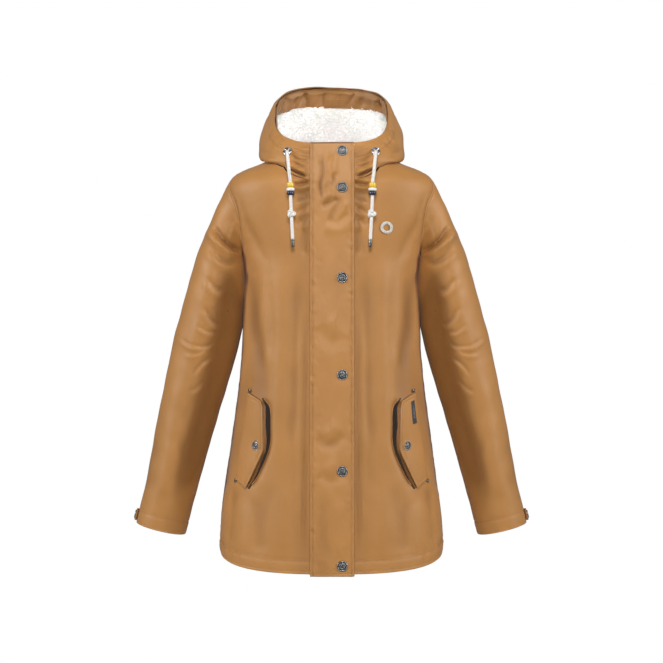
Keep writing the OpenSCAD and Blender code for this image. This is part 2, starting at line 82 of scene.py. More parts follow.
# Where a panel ends at the armhole: height, then degrees round from the middle of the panel.
ARMHOLE = [(-.178, 90), (-.172, 80), (-.158, 73), (-.143, 69), (-.109, 61), (-.081, 62.6),
           (-.052, 74.5), (-.040, 81), (-.030, 90)]
# Sleeve, by the distance down from the pivot: outer and inner edge, and half the depth.
OUTER = [(-.080, .005), (-.030, .032), (.016, .0415), (.084, .0508), (.172, .0547), (.239, .0568),
         (.327, .0542), (.501, .0474), (.577, .0455)]
INNER = [(-.080, .030), (.030, .044), (.066, .034), (.142, .051), (.190, .0595), (.240, .0605),
         (.300, .0560), (.478, .0474), (.577, .0445)]
DEPTH = [(-.080, .030), (0, .057), (.066, .057), (.225, .055), (.490, .049), (.577, .0455)]

CORD_D = 0.006
# The draw cord leaves its eyelet, turns down and hangs: first from the eyelet, then in the coat.
CORD_TOP = [(-.0008, .0050, -.0010), (0, .0010, -.0002), (.0004, -.0050, .0004),
            (.0005, -.0110, -.0006), (.0002, -.0162, -.0040), (-.0004, -.0202, -.0094),
            (-.0012, -.0228, -.0162)]
CORD_FALL = [(.0758, -.1878, -.0200), (.0748, -.1900, -.0320), (.0730, -.1920, -.0440),
             (.0727, -.1930, -.0560), (.0723, -.1940, -.0680), (.0720, -.1950, -.0800),
             (.0715, -.1960, -.0920), (.0710, -.1970, -.1040), (.0703, -.1980, -.1160),
             (.0698, -.1985, -.1260), (.0692, -.1990, -.1360), (.0687, -.1995, -.1480)]
BEADS_AT, KNOT_AT = 2, 7    # points of CORD_FALL
BEADS_LOWER = .005    # how far the beads have slid down from there
EYELET = np.array([.0780, -.1622, .0062])
EYELET_OUT = np.array([.270, -.850, .450])

FLAP_X = (-.0378, .040)
FLAP_TOP = .0225      # height of the storm flap's top edge
FLAP_FACE = .007      # from the front line to the storm flap's outer face
STAND_LEAN = .017     # how far the flap leans back above the neck seam
SNAP_X = .019         # of the front's row of snaps
SNAP_Z = (.0066, -.0575, -.217, -.3888, -.5588, -.7255)
# The pocket flap's sewn edge and its free edge, and the pocket's mouth, in x and z.
POCKET_SEWN = [(.1460, -.4200), (.1690, -.5720)]
POCKET_FREE = [(.1225, -.4340), (.1190, -.4480), (.1172, -.4800), (.1180, -.5215), (.1500, -.5900)]
POCKET_SNAP = (.1300, -.514)
RIVETS = [(.1455, -.4165), (.1700, -.5760)]
TAB_MID = SLEEVE_L - .0135    # of the cuff tab, down the sleeve
CUFF_SAG = .005       # how much lower the cuff's front edge is than its sides
MOUTH = [(.1225, 0, -.430), (.1140, 0, -.446), (.1125, 0, -.476), (.1155, 0, -.522), (.1465, 0, -.590)]
# How far from its edge each row of stitches runs.
POCKET_STITCH, SEAM_STITCH, FLAP_STITCH = .006, .005, .0045
HEM_STITCH, RIM_STITCH = .023, .022


# ---------- numbers ----------
def unit(v):
    v = np.asarray(v, float)
    return v / np.maximum(np.linalg.norm(v, axis=-1, keepdims=True), 1e-12)


def power(v, n):
    return np.sign(v) * np.abs(v) ** (2 / n)


def smooth(x):
    x = np.clip(x, 0, 1)
    return x * x * (3 - 2 * x)


def bell(x, width):
    """A smooth bump: 1 where x is 0, and gone at about twice the width."""
    return np.exp(-(x / width) ** 2)


def station(table, where, soft=0.0):
    """A table's value, rounded over +-soft."""
    keys, values = np.array(sorted(table)).T
    steps = (-1, -.6, -.25, .25, .6, 1)
    return sum(np.interp(np.asarray(where) + s * soft, keys, values) for s in steps) / len(steps)


def from_front(degrees):
    """Degrees round from the front middle, the same to both sides."""
    return np.where(degrees > 180, 360 - degrees, degrees)


def mirrored(points, side):
    return points * np.array([side, 1, 1])


def on_body(a, z, inset=0.0):
    """The body's surface at an angle round from the front middle, in degrees, and a height."""
    a, z = np.radians(a), np.asarray(z, float)
    soft = np.interp(z, (-.2, -.05), (.02, .004))
    wide = station(WIDTH, z, soft) - inset
    deep = np.where(np.cos(a) > 0, station(FRONT, z, soft), station(BACK, z, soft)) - inset
    return np.stack([wide * power(np.sin(a), SQUARE), MID_Y - deep * power(np.cos(a), SQUARE),
                     z + 0 * a], -1)


def angle_at(x, z):
    share = np.clip(x / station(WIDTH, z, .004), 0, 1)
    return np.degrees(np.arcsin(share ** (SQUARE / 2)))


def body_out(a, z):
    du = on_body(a + .4, z) - on_body(a - .4, z)
    dz = on_body(a, z + .002) - on_body(a, z - .002)
    return unit(np.cross(du, dz))


def spot_at(x, z, side):
    """A place on the front, and the surface's normal there."""
    a, z = angle_at(x, z), np.array(z)
    return mirrored(on_body(a, z), side), mirrored(body_out(a, z), side)


def armhole_at(z):
    """Where a panel ends at the armhole or the side seam, in degrees round from the panel's middle."""
    soft = .010 * np.clip(np.minimum(z + .178, -.030 - z) / .02, 0, 1)
    return station(ARMHOLE, z, soft)


def panel_end(z):
    """The same, with the seam allowance that lies under the sleeve or the next panel."""
    return armhole_at(z) + .4 + 3 * bell(z + .170, .010)


def hem_at(a):
    return HEM_Z + HEM_RISE * (np.minimum(a, 180 - a) / 90) ** 2.2


def front_y(z):
    """The front line, leaning back above the neck seam as the storm flap does."""
    z = np.asarray(z, float)
    low = MID_Y - .0974 + SLOPE * np.minimum(z, -.045)
    return low + STAND_LEAN * np.clip((z + .045) / (FLAP_TOP + .045), 0, 1.1)


def front_out(z):
    dy = (front_y(z + .002) - front_y(z - .002)) / .004
    return unit([0, -1, float(dy)])


def bezier(p, s):
    s = s[..., None]
    r = 1 - s
    return r ** 3 * p[0] + 3 * r * r * s * p[1] + 3 * r * s * s * p[2] + s ** 3 * p[3]


def rim_point(v):
    v = np.radians(v)
    return np.stack([.102 * power(np.sin(v), RIM_SQUARE), -.055 - .1105 * power(np.cos(v), RIM_SQUARE),
                     .0755 - .0535 * power(np.cos(v), RIM_SQUARE)], -1)


def hood(v, u):
    """The hood's surface: v round the rim from the front middle, u from the rim to the neck seam."""
    over = from_front(v)
    r = np.radians(v)
    out = np.stack([np.sin(r), -np.cos(r), 0 * r], -1)
    up = np.array([0, 0, 1.0])

    def part(*pairs):
        """Millimetres at degrees from the front, as metres."""
        return np.interp(over, *zip(*pairs))[..., None] / 1000
    rim = rim_point(v)
    sides = np.stack([np.sign(180 - v + 1e-9), 1 + 0 * v, 1 + 0 * v], -1)
    neck = on_body(over, station(NECK, over)) * sides
    leave = part((0, 4), (90, 16), (180, 42)) * out - part((0, 15), (90, 25), (180, 4)) * up
    arrive = (part((0, 3), (50, 16), (90, 45), (180, 80)) * out
              + part((0, 15), (90, 8), (180, 2)) * up)
    return bezier([rim, rim + leave, neck + arrive, neck], u)


def on_sleeve(phi, t, inset=0.0):
    """The sleeve's tube: phi round from its outer side through the front, t down from the pivot."""
    soft = .015
    out, inn = station(OUTER, t, soft) - inset, station(INNER, t, soft) - inset
    deep = station(DEPTH, t, soft) - inset
    mid, half = (out - inn) / 2, (out + inn) / 2
    phi = np.radians(phi)
    return (PIVOT + t[..., None] * DOWN + (mid + half * np.cos(phi))[..., None] * AWAY
            - (deep * np.sin(phi))[..., None] * np.array([0, 1, 0]))


# ---------- relief ----------
def billow(points, size, seed):
    """Smooth noise, about -1 to 1, with lumps of about that size."""
    rng = np.random.default_rng(seed)
    total = 0
    for _ in range(9):
        way = unit(rng.normal(size=3)) * 2 * np.pi / (size * rng.uniform(1.4, 3.4))
        total = total + np.sin(points @ way + rng.uniform(0, 2 * np.pi))
    return total / 3.2


def near_line(x, z, line):
    """Signed distance to a line through points, and how far along it the nearest place is, 0 to 1."""
    line = np.asarray(line, float)
    legs = np.diff(line, axis=0)
    lengths = np.hypot(*legs.T)
    begins = np.concatenate([[0], np.cumsum(lengths)])
    best, share = np.full(np.shape(x), 9.0), np.zeros(np.shape(x))
    for p, leg, length, begin in zip(line, legs, lengths, begins):
        t = np.clip(((x - p[0]) * leg[0] + (z - p[1]) * leg[1]) / length ** 2, 0, 1)
        dx, dz = x - p[0] - t * leg[0], z - p[1] - t * leg[1]
        dist = np.hypot(dx, dz) * np.where(leg[0] * dz - leg[1] * dx < 0, -1, 1)
        closer = np.abs(dist) < np.abs(best)
        best = np.where(closer, dist, best)
        share = np.where(closer, (begin + t * length) / begins[-1], share)
    return best, share


def crease(x, z, line, width, depth):
    """A fold along a line: a valley, and a ridge on its left as the line is followed."""
    soft_line = spline([(a, 0, b) for a, b in line], 22)[:, (0, 2)]
    dist, share = near_line(x, z, soft_line)
    fade = smooth(4.5 * np.minimum(share, 1 - share))
    q = dist / width
    return depth * fade * (.9 * bell(q - 1.4, 1) - bell(1.4 * q, 1))


def lengths_from(grid, edge):
    """Each point's distance along the cloth from one edge of the grid."""
    g = {"top": grid, "bottom": grid[::-1], "left": grid.swapaxes(0, 1),
         "right": grid.swapaxes(0, 1)[::-1]}[edge]
    steps = np.linalg.norm(np.diff(g, axis=0), axis=-1)
    far = np.concatenate([np.zeros((1,) + steps.shape[1:]), np.cumsum(steps, 0)])
    return {"top": far, "bottom": far[::-1], "left": far.swapaxes(0, 1),
            "right": far[::-1].swapaxes(0, 1)}[edge]


def nearest_edge(grid, *edges):
    """Each point's distance along the cloth from the nearest of these edges."""
    return np.minimum.reduce([lengths_from(grid, edge) for edge in edges])


def stitched_edge(grid, edge, seed):
    """Relief of an edge that is folded and topstitched: a groove, a padded lip and small puckers."""
    far = lengths_from(grid, edge)
    groove = -.0008 * bell(far - SEAM_STITCH, .0012)
    lip = .0003 * smooth((SEAM_STITCH - far) / .002)
    near = np.exp(-np.abs(far - SEAM_STITCH) / .012)
    return groove + lip + .0004 * near * billow(grid, .005, seed)


def normals(grid, closed=False):
    """Unit normals, outward where the columns run from the front to the wearer's left. Where closed,
    the last column is followed by the first."""
    wrap = np.concatenate([grid[:, -1:], grid, grid[:, :1]], 1) if closed else grid
    across = np.gradient(wrap, axis=1)
    across = across[:, 1:-1] if closed else across
    return unit(np.cross(np.gradient(grid, axis=0), across))


# ---------- meshes ----------
def mesh_object(name, points, faces, mats, slots=None, relief=None):
    mesh = bpy.data.meshes.new(name)
    mesh.from_pydata([tuple(p) for p in np.asarray(points, float).tolist()], [], faces)
    for mat in mats if isinstance(mats, (list, tuple)) else [mats]:
        mesh.materials.append(mat)
    mesh.polygons.foreach_set("use_smooth", [True] * len(mesh.polygons))
    if slots is not None:
        mesh.polygons.foreach_set("material_index", slots)
    # The relief is kept on the points. The coated cloth's material reads it to paint shade in the hollows.
    layer = mesh.attributes.new("relief", "FLOAT", "POINT")
    values = np.zeros(len(points)) if relief is None else relief
    layer.data.foreach_set("value", np.asarray(values, np.float32))
    mesh.validate()
    obj = bpy.data.objects.new(name, mesh)
    bpy.context.scene.collection.objects.link(obj)
    return obj


def quads(index, closed=False, back=False):
    """Faces over a grid of point numbers."""
    a, b = index[:-1], index[1:]
    if closed:
        a2, b2 = np.roll(a, -1, 1), np.roll(b, -1, 1)
    else:
        a, a2, b, b2 = a[:, :-1], a[:, 1:], b[:, :-1], b[:, 1:]
    rows = np.stack([a, a2, b2, b] if back else [a, b, b2, a2], -1).reshape(-1, 4)
    return rows.tolist()


def cloth(name, grid, mat, thick=SHELL, closed=False, relief=None, side=LEFT):
    """A two-walled piece of cloth with rounded edges. The grid is its outer wall, on the left side."""
    rows, cols = grid.shape[:2]
    relief = np.zeros((rows, cols)) if relief is None else relief
    inner = grid - thick * normals(grid, closed)
    outer_i = np.arange(rows * cols).reshape(rows, cols)
    inner_i = outer_i + rows * cols
    points = [grid.reshape(-1, 3), inner.reshape(-1, 3)]
    heights = [relief.reshape(-1)] * 2
    faces = quads(outer_i, closed) + quads(inner_i, closed, True)
    # Each place on an edge, with its neighbour inwards, all the way round.
    top = [((0, c), (1, c)) for c in range(cols)]
    bottom = [((rows - 1, c), (rows - 2, c)) for c in reversed(range(cols))]
    right = [((r, cols - 1), (r, cols - 2)) for r in range(1, rows)]
    left = [((r, 0), (r, 1)) for r in reversed(range(1, rows - 1))]
    for loop in ([top, bottom] if closed else [top + right + bottom[1:] + left]):
        edge, near = (tuple(np.array(places).T) for places in zip(*loop))
        begin = sum(len(p) for p in points)
        push = unit(grid[edge] - grid[near]) * thick / 2
        points.append((grid[edge] + inner[edge]) / 2 + push)
        heights.append(relief[edge])
        rim = np.arange(begin, begin + len(loop))
        faces += quads(np.stack([outer_i[edge], rim, inner_i[edge]]), True)
    if side == RIGHT:
        faces = [face[::-1] for face in faces]
    every = mirrored(np.concatenate(points), side)
    return mesh_object(name, every, faces, mat, relief=np.concatenate(heights))


def frames(path):
    """A steady frame along a path: unit tangents and two unit vectors across."""
    along = unit(np.gradient(path, axis=0))
    side = np.cross(along[0], (.3, .2, 1))
    sides = []
    for t in along:
        side = unit(side - np.dot(side, t) * t)
        sides.append(side)
    sides = np.array(sides)
    return along, sides, np.cross(along, sides)


def spline(points, count):
    """A smooth path through points, evenly spaced."""
    p = np.asarray(points, float)
    p = np.concatenate([[2 * p[0] - p[1]], p, [2 * p[-1] - p[-2]]])
    fine = []
    for a, b, c, d in zip(p, p[1:], p[2:], p[3:]):
        t = np.linspace(0, 1, 24, endpoint=False)[:, None]
        fine.append(.5 * (2 * b + (c - a) * t + (2 * a - 5 * b + 4 * c - d) * t ** 2
                          + (3 * b - a - 3 * c + d) * t ** 3))
    fine = np.concatenate(fine + [p[-2:-1]])
    far = np.concatenate([[0], np.cumsum(np.linalg.norm(np.diff(fine, axis=0), axis=1))])
    where = np.linspace(0, far[-1], count)
    return np.stack([np.interp(where, far, fine[:, k]) for k in range(3)], -1)


def tube(path, radius, sides=16, wave=None):
    """Points and faces of a round tube with domed ends. wave(along, around) scales its radius."""
    path = np.asarray(path, float)
    along, side, other = frames(path)
    turn = np.linspace(0, 2 * np.pi, sides, endpoint=False)
    far = np.concatenate([[0], np.cumsum(np.linalg.norm(np.diff(path, axis=0), axis=1))])
    r = np.broadcast_to(radius, (len(path),))[:, None] * (
        1 if wave is None else wave(far[:, None], turn[None, :]))
    r = r * np.ones((len(path), sides))
    rings = (path[:, None] + (r * np.cos(turn))[..., None] * side[:, None]
             + (r * np.sin(turn))[..., None] * other[:, None])
    index = np.arange(rings.shape[0] * sides).reshape(-1, sides)
    faces = quads(index, True, True)
    total = index.size
    tips = [path[0] - along[0] * r[0].mean() * .5, path[-1] + along[-1] * r[-1].mean() * .5]
    faces += [[total, int(index[0, k]), int(index[0, (k + 1) % sides])] for k in range(sides)]
    faces += [[total + 1, int(index[-1, (k + 1) % sides]), int(index[-1, k])] for k in range(sides)]
    return np.concatenate([rings.reshape(-1, 3), tips]), faces


def joined(parts):
    """Several (points, faces) as one."""
    points, faces, begin = [], [], 0
    for p, f in parts:
        points.append(p)
        faces += [[i + begin for i in face] for face in f]
        begin += len(p)
    return np.concatenate(points), faces


def moved(part, carry):
    """A part's points taken to their place, with its faces."""
    return carry(part[0]), part[1]


def facing(place, out):
    """Turns local points, +Z out of the coat, to a place on it."""
    w = unit(out)
    u = unit(np.cross((0, 0, 1.0), w))
    v = np.cross(w, u)
    return lambda p: np.asarray(place) + p[..., :1] * u + p[..., 1:2] * v + p[..., 2:] * w


def lathe(profile, turns=48, wave=None):
    """Points and faces of a turned shape. wave(radius, height, angle) moves its height."""
    profile = np.asarray(profile, float)
    turn = np.linspace(0, 2 * np.pi, turns, endpoint=False)
    r, h = profile[:, :1], profile[:, 1:]
    height = h + (0 if wave is None else wave(r, h, turn[None, :])) + 0 * turn[None, :]
    points = np.stack([r * np.cos(turn), r * np.sin(turn), height], -1)
    index = np.arange(points.shape[0] * turns).reshape(-1, turns)
    return points.reshape(-1, 3), quads(index, True)


def rounded(profile, count=40):
    """A turned profile's corners rounded: a smooth line through its points."""
    p = np.array([(r, 0, h) for r, h in profile])
    return spline(p, count)[:, (0, 2)]


# ---------- materials ----------
def new_material(name):
    mat = bpy.data.materials.new(name)
    mat.use_nodes = True
    tree = mat.node_tree
    shader = tree.nodes["Principled BSDF"]
    return mat, tree, shader


def add(tree, kind, links=(), **values):
    """A node with its values set, and its inputs linked as (input, output socket)."""
    node = tree.nodes.new("ShaderNode" + kind)
    for key, value in values.items():
        if hasattr(node, key):
            setattr(node, key, value)
        else:
            node.inputs[key.replace("_", " ")].default_value = value
    for socket, source in links:
        tree.links.new(source, node.inputs[socket])
    return node


def place(tree):
    return add(tree, "TexCoord").outputs["Object"]


def ramp(tree, source, stops):
    node = add(tree, "ValToRGB", [("Fac", source)])
    while len(node.color_ramp.elements) < len(stops):
        node.color_ramp.elements.new(.5)
    for element, (at, color) in zip(node.color_ramp.elements, stops):
        element.position = at
        element.color = (*color, 1)
    return node.outputs["Color"]


def noise(tree, scale, detail, roughness=.5, **more):
    """Noise in the coat's own coordinates, 0 to 1."""
    return add(tree, "TexNoise", [("Vector", place(tree))], Scale=scale, Detail=detail,
               Roughness=roughness, **more).outputs["Fac"]


def rescaled(tree, value, **limits):
    return add(tree, "MapRange", [("Value", value)], **limits).outputs["Result"]


def multiplied(tree, color, other, share):
    """A colour times a share of another."""
    node = add(tree, "Mix", data_type="RGBA", blend_type="MULTIPLY")
    node.inputs["Factor"].default_value = share
    tree.links.new(color, node.inputs["A"])
    tree.links.new(other, node.inputs["B"])
    return node.outputs["Result"]


def bump(tree, shader, height, distance, strength=1.0, under=None):
    node = add(tree, "Bump", [("Height", height)], Strength=strength, Distance=distance)
    if under is not None:
        tree.links.new(under.outputs["Normal"], node.inputs["Normal"])
    tree.links.new(node.outputs["Normal"], shader.inputs["Normal"])
    return node


def shade(color, factor):
    return tuple(min(1, c * factor) for c in color)


def coated_fabric(name, color):
    """Matt polyurethane on a fine woven base: grain, soft blotches, and painted shade where its relief
    sinks in.
    """
    mat, tree, shader = new_material(name)
    blotch = noise(tree, 9.0, 4.0, .6)
    tone = ramp(tree, blotch, [(.3, shade(color, .93)), (.7, shade(color, 1.06))])
    relief = add(tree, "Attribute", attribute_name="relief").outputs["Fac"]
    height = rescaled(tree, relief, From_Min=-.004, From_Max=.004)
    # Painted shade: the colour darkens to about two thirds where the relief sinks in, in creases, hollows,
    # tucks and turned-in edges.
    painted_valley_shade = ramp(tree, height, [(0, (.66, .62, .56)), (.45, (1, 1, 1)), (1, (1, 1, 1))])
    grain = noise(tree, 1500.0, 3.0, .65)
    fleck = ramp(tree, grain, [(.3, (.86, .85, .84)), (.7, (1, 1, 1))])
    finished = multiplied(tree, multiplied(tree, tone, painted_valley_shade, 1), fleck, .5)
    tree.links.new(finished, shader.inputs["Base Color"])
    rough = rescaled(tree, noise(tree, 40.0, 6.0, .6), To_Min=.44, To_Max=.62)
    tree.links.new(rough, shader.inputs["Roughness"])
    shader.inputs["Sheen Weight"].default_value = .12
    shader.inputs["Sheen Roughness"].default_value = .5
    twill = add(tree, "TexWave", [("Vector", place(tree))], wave_type="BANDS",
                bands_direction="DIAGONAL", Scale=420.0, Distortion=1.2, Detail=1.0).outputs["Fac"]
    weave = bump(tree, shader, twill, .00006, .25)
    coarse = bump(tree, shader, grain, .00018, .45, weave)
    bump(tree, shader, noise(tree, 70.0, 3.0), .0014, .28, coarse)
    return mat


def pile_fabric(name, color):
    """Curly sherpa: warm shadows between the curls, and a soft sheen."""
    mat, tree, shader = new_material(name)
    curls = noise(tree, 330.0, 4.0, .7, Distortion=1.6)
    tones = [(.3, shade(color, .86)), (.5, color), (.8, shade(color, 1.08))]
    tree.links.new(ramp(tree, curls, tones), shader.inputs["Base Color"])
    shader.inputs["Roughness"].default_value = .95
    shader.inputs["Sheen Weight"].default_value = 1
    shader.inputs["Sheen Roughness"].default_value = .5
    lumps = add(tree, "TexVoronoi", [("Vector", place(tree))], Scale=260.0,
                feature="F1").outputs["Distance"]
    bump(tree, shader, curls, .0010, .5, bump(tree, shader, lumps, .0010, .4))
    return mat


def woven(name, color, scale, rough=.75, contrast=.7):
    """A plain weave, as two sets of threads across each other."""
    mat, tree, shader = new_material(name)
    at = place(tree)
    sets = [add(tree, "TexWave", [("Vector", at)], wave_type="BANDS", bands_direction=way, Scale=scale,
                Distortion=.6, Detail=1.0).outputs["Fac"] for way in ("X", "Z")]
    both = add(tree, "Math", [(0, sets[0]), (1, sets[1])], operation="MULTIPLY").outputs["Value"]
    fuzz = noise(tree, scale * 1.7, 3.0)
    height = add(tree, "Math", [(0, both), (1, fuzz)], operation="ADD").outputs["Value"]
    tones = [(.2, shade(color, contrast)), (1, shade(color, 1.15))]
    tree.links.new(ramp(tree, height, tones), shader.inputs["Base Color"])
    shader.inputs["Roughness"].default_value = rough
    shader.inputs["Sheen Weight"].default_value = .2
    bump(tree, shader, height, .00025, .6)
    return mat


def metal(name, color, rough, tarnish):
    """Plated metal with tarnish in its hollows and fine scratches."""
    mat, tree, shader = new_material(name)
    spots = noise(tree, 420.0, 5.0, .7)
    sharp = add(tree, "NewGeometry").outputs["Pointiness"]
    edges = rescaled(tree, sharp, From_Min=.46, From_Max=.54, To_Min=-.6, To_Max=.4)
    total = add(tree, "Math", [(0, spots), (1, edges)], operation="ADD").outputs["Value"]
    tones = [(.15, tarnish), (.75, color), (1, shade(color, 1.5))]
    tree.links.new(ramp(tree, total, tones), shader.inputs["Base Color"])
    shader.inputs["Metallic"].default_value = 1
    dull = rescaled(tree, spots, To_Min=rough * .7, To_Max=rough * 1.4)
    tree.links.new(dull, shader.inputs["Roughness"])
    bump(tree, shader, spots, .00008, .5)
    return mat


def plastic(name, color):
    """A glossy painted bead, with faint scuffs."""
    mat, tree, shader = new_material(name)
    scuff = noise(tree, 700.0, 5.0, .7)
    tones = [(.3, shade(color, .88)), (.6, color)]
    tree.links.new(ramp(tree, scuff, tones), shader.inputs["Base Color"])
    tree.links.new(rescaled(tree, scuff, To_Min=.16, To_Max=.36), shader.inputs["Roughness"])
    shader.inputs["Coat Weight"].default_value = .3
    bump(tree, shader, scuff, .00004, .4)
    return mat


def braided(name, color):
    """Braided cotton cord: fuzzy strands, a little darker between them."""
    mat, tree, shader = new_material(name)
    fuzz = noise(tree, 900.0, 4.0, .7)
    relief = add(tree, "Attribute", attribute_name="relief").outputs["Fac"]
    total = add(tree, "Math", [(0, fuzz), (1, relief)], operation="ADD").outputs["Value"]
    tones = [(.1, shade(color, .72)), (.6, color), (1, shade(color, 1.05))]
    tree.links.new(ramp(tree, total, tones), shader.inputs["Base Color"])
    shader.inputs["Roughness"].default_value = .85
    shader.inputs["Sheen Weight"].default_value = .3
    bump(tree, shader, fuzz, .0003, .5)
    return mat


TAN_COLOR = (.485, .222, .056)
TAN = coated_fabric("coated_tan", TAN_COLOR)
# The tan inside the rim, hem and cuffs, darkened to two thirds as painted shade.
TAN_IN_PAINTED_SHADE = coated_fabric("coated_tan_inside_painted_shade", shade(TAN_COLOR, .66))
SHERPA = pile_fabric("sherpa", (.97, .965, .94))
LINING = woven("dark_lining", (.040, .024, .014), 900)
TAPE = woven("woven_tape", (.30, .16, .065), 700)
LABEL = woven("woven_label", (.034, .034, .040), 800)
LABEL_RIBS = woven("woven_label_ribs", (.17, .17, .175), 800)
THREAD = woven("thread", (.42, .20, .068), 1600, .6)
PALE_THREAD = woven("pale_thread", (.78, .75, .68), 1600, .5)
CORD = braided("braided_cord", (.83, .81, .76))
GUNMETAL = metal("gunmetal", (.36, .36, .365), .34, (.016, .015, .014))
SILVER = metal("nickel", (.62, .62, .64), .24, (.10, .10, .10))
YELLOW, WHITE, NAVY = (plastic(n, c) for n, c in (
    ("bead_yellow", (.85, .56, .03)), ("bead_white", (.86, .85, .82)), ("bead_navy", (.012, .018, .06))))


def with_hood(obj):
    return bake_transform(obj)


def with_sleeve():
    return lambda obj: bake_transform(obj)


def with_body(body):
    return lambda obj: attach(obj, body)


def finish(obj, carry, slot, *nodes):
    """Moves a finished piece with its body and hides the CAD nodes it stands for. The slot is not used."""
    carry(obj)
    if nodes:
        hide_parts(*nodes)
    return obj


def with_cord():
    """The cord keeps its place: its transform is baked into its points."""
    return lambda obj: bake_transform(obj)


def stitch(points, out, gap=.0034, long=.0024, thick=.00034):
    """Points and faces of a row of thread stitches lying on cloth, along a line with normals."""
    far = np.concatenate([[0], np.cumsum(np.linalg.norm(np.diff(points, axis=0), axis=1))])
    where = np.arange(gap, far[-1] - gap, gap)

    def at(values, w):
        return np.stack([np.interp(w, far, values[:, k]) for k in range(3)], -1)
    a, b = at(points, where - long / 2), at(points, where + long / 2)
    up = unit(at(out, where))
    side = unit(np.cross(b - a, up)) * thick
    middle = (a + b) / 2 + up * thick * .9
    lift = up * thick
    ring = np.stack([middle + side, middle + lift, middle - side, middle - lift], 1)
    tips = np.stack([a, b], 1)
    every = np.concatenate([ring, tips], 1).reshape(-1, 3)
    faces = []
    for n in range(len(where)):
        o = n * 6
        for k in range(4):
            faces += [[o + k, o + (k + 1) % 4, o + 5], [o + (k + 1) % 4, o + k, o + 4]]
    return every, faces


def inset_line(grid, edge, inset, closed=False):
    """Points and normals along a grid at one distance from an edge."""
    far = lengths_from(grid, edge)
    out = normals(grid, closed)
    if edge in ("left", "right"):
        far, grid, out = far.T, grid.swapaxes(0, 1), out.swapaxes(0, 1)
    line, up = [], []
    for c in range(grid.shape[1]):
        order = np.argsort(far[:, c])
        line.append([np.interp(inset, far[order, c], grid[order, c, k]) for k in range(3)])
        up.append([np.interp(inset, far[order, c], out[order, c, k]) for k in range(3)])
    line, up = np.array(line), np.array(up)
    if closed:
        line, up = np.concatenate([line, line[:1]]), np.concatenate([up, up[:1]])
    return line, up


def stitching(name, lines, carry, side=LEFT):
    points, faces = joined([stitch(line, up) for line, up in lines])
    obj = mesh_object(name, mirrored(points, side), faces, THREAD)
    carry(obj)
    return obj


# ---------- camera, light and floor ----------
def stage():
    scene = bpy.context.scene
    scene.view_settings.view_transform = "Standard"
    camera = bpy.data.objects.new("camera", bpy.data.cameras.new("camera"))
    camera.location = (0, -11.11, -.312)
    camera.rotation_euler = (math.radians(90), 0, 0)
    camera.data.lens = 335.6
    camera.data.sensor_width = 36
    camera.data.clip_end = 40
    scene.collection.objects.link(camera)
    scene.camera = camera
    middle, opening = (0, -.1, -.35), (0, 0, .07)
    # Name, place, aim, size, watts and spread in degrees. The last is a narrow beam into the hood.
    lights = [("front", (0, -2.3, 1.0), middle, .9, 37, 180),
              ("left", (2.7, -1.25, .8), middle, .8, 51, 180),
              ("right", (-2.7, -1.25, .8), middle, .8, 51, 180),
              ("top", (0, .5, 2.3), middle, 1.4, 4, 180),
              ("hood", (0, -1.9, .75), opening, .12, .03, 6)]
    for name, at, aim, size, watts, spread in lights:
        lamp = bpy.data.lights.new(name, "AREA")
        lamp.energy = watts
        lamp.size = size
        lamp.shape = "DISK"
        lamp.spread = math.radians(spread)
        obj = bpy.data.objects.new(name, lamp)
        obj.location = at
        obj.rotation_euler = Vector(np.subtract(aim, at)).to_track_quat("-Z", "Y").to_euler()
        scene.collection.objects.link(obj)
    world = bpy.data.worlds.new("studio")
    world.use_nodes = True
    tree = world.node_tree
    back = tree.nodes["Background"]
    seen = add(tree, "LightPath").outputs["Is Camera Ray"]
    tree.links.new(rescaled(tree, seen, To_Min=.08, To_Max=1.0), back.inputs["Strength"])
    back.inputs["Color"].default_value = (1, 1, 1, 1)
    scene.world = world
    turn = np.linspace(0, 2 * np.pi, 64, endpoint=False)
    disc = np.stack([.8 * np.cos(turn), -.1 + .8 * np.sin(turn), -1.02 + 0 * turn], -1)
    mat, tree, shader = new_material("pale_floor")
    tones = [(.3, (.80, .80, .79)), (.7, (.86, .86, .85))]
    tree.links.new(ramp(tree, noise(tree, 60.0, 4.0), tones), shader.inputs["Base Color"])
    shader.inputs["Roughness"].default_value = .8
    floor = mesh_object("floor", disc, [list(range(64))], mat)


stage()


# ---------- draw cords ----------
def braid(far, around):
    """A braid's strands: two sets of spirals that pass over and under each other."""
    one = np.cos(4 * around + far * 2 * np.pi / .009)
    two = np.cos(4 * around - far * 2 * np.pi / .009)
    return 1 + .05 * np.maximum(one, two) - .03


def knot_path(middle, along):
    """An overhand knot round the cord: the cord goes once round itself and through."""
    t = np.linspace(0, 2 * np.pi, 90, endpoint=False)
    x = .0034 * (np.sin(t) + 2 * np.sin(2 * t)) / 1.9
    z = .0034 * (np.cos(t) - 2 * np.cos(2 * t)) / 1.9
    y = .0024 * -np.sin(3 * t)
    w = unit(along)
    u = unit(np.cross((0, 1.0, 0), w))
    v = np.cross(w, u)
    lean = math.radians(28)
    x, z = x * math.cos(lean) - z * math.sin(lean), x * math.sin(lean) + z * math.cos(lean)
    ring = middle + x[:, None] * u + y[:, None] * v + z[:, None] * w
    return np.concatenate([ring, ring[:2]])


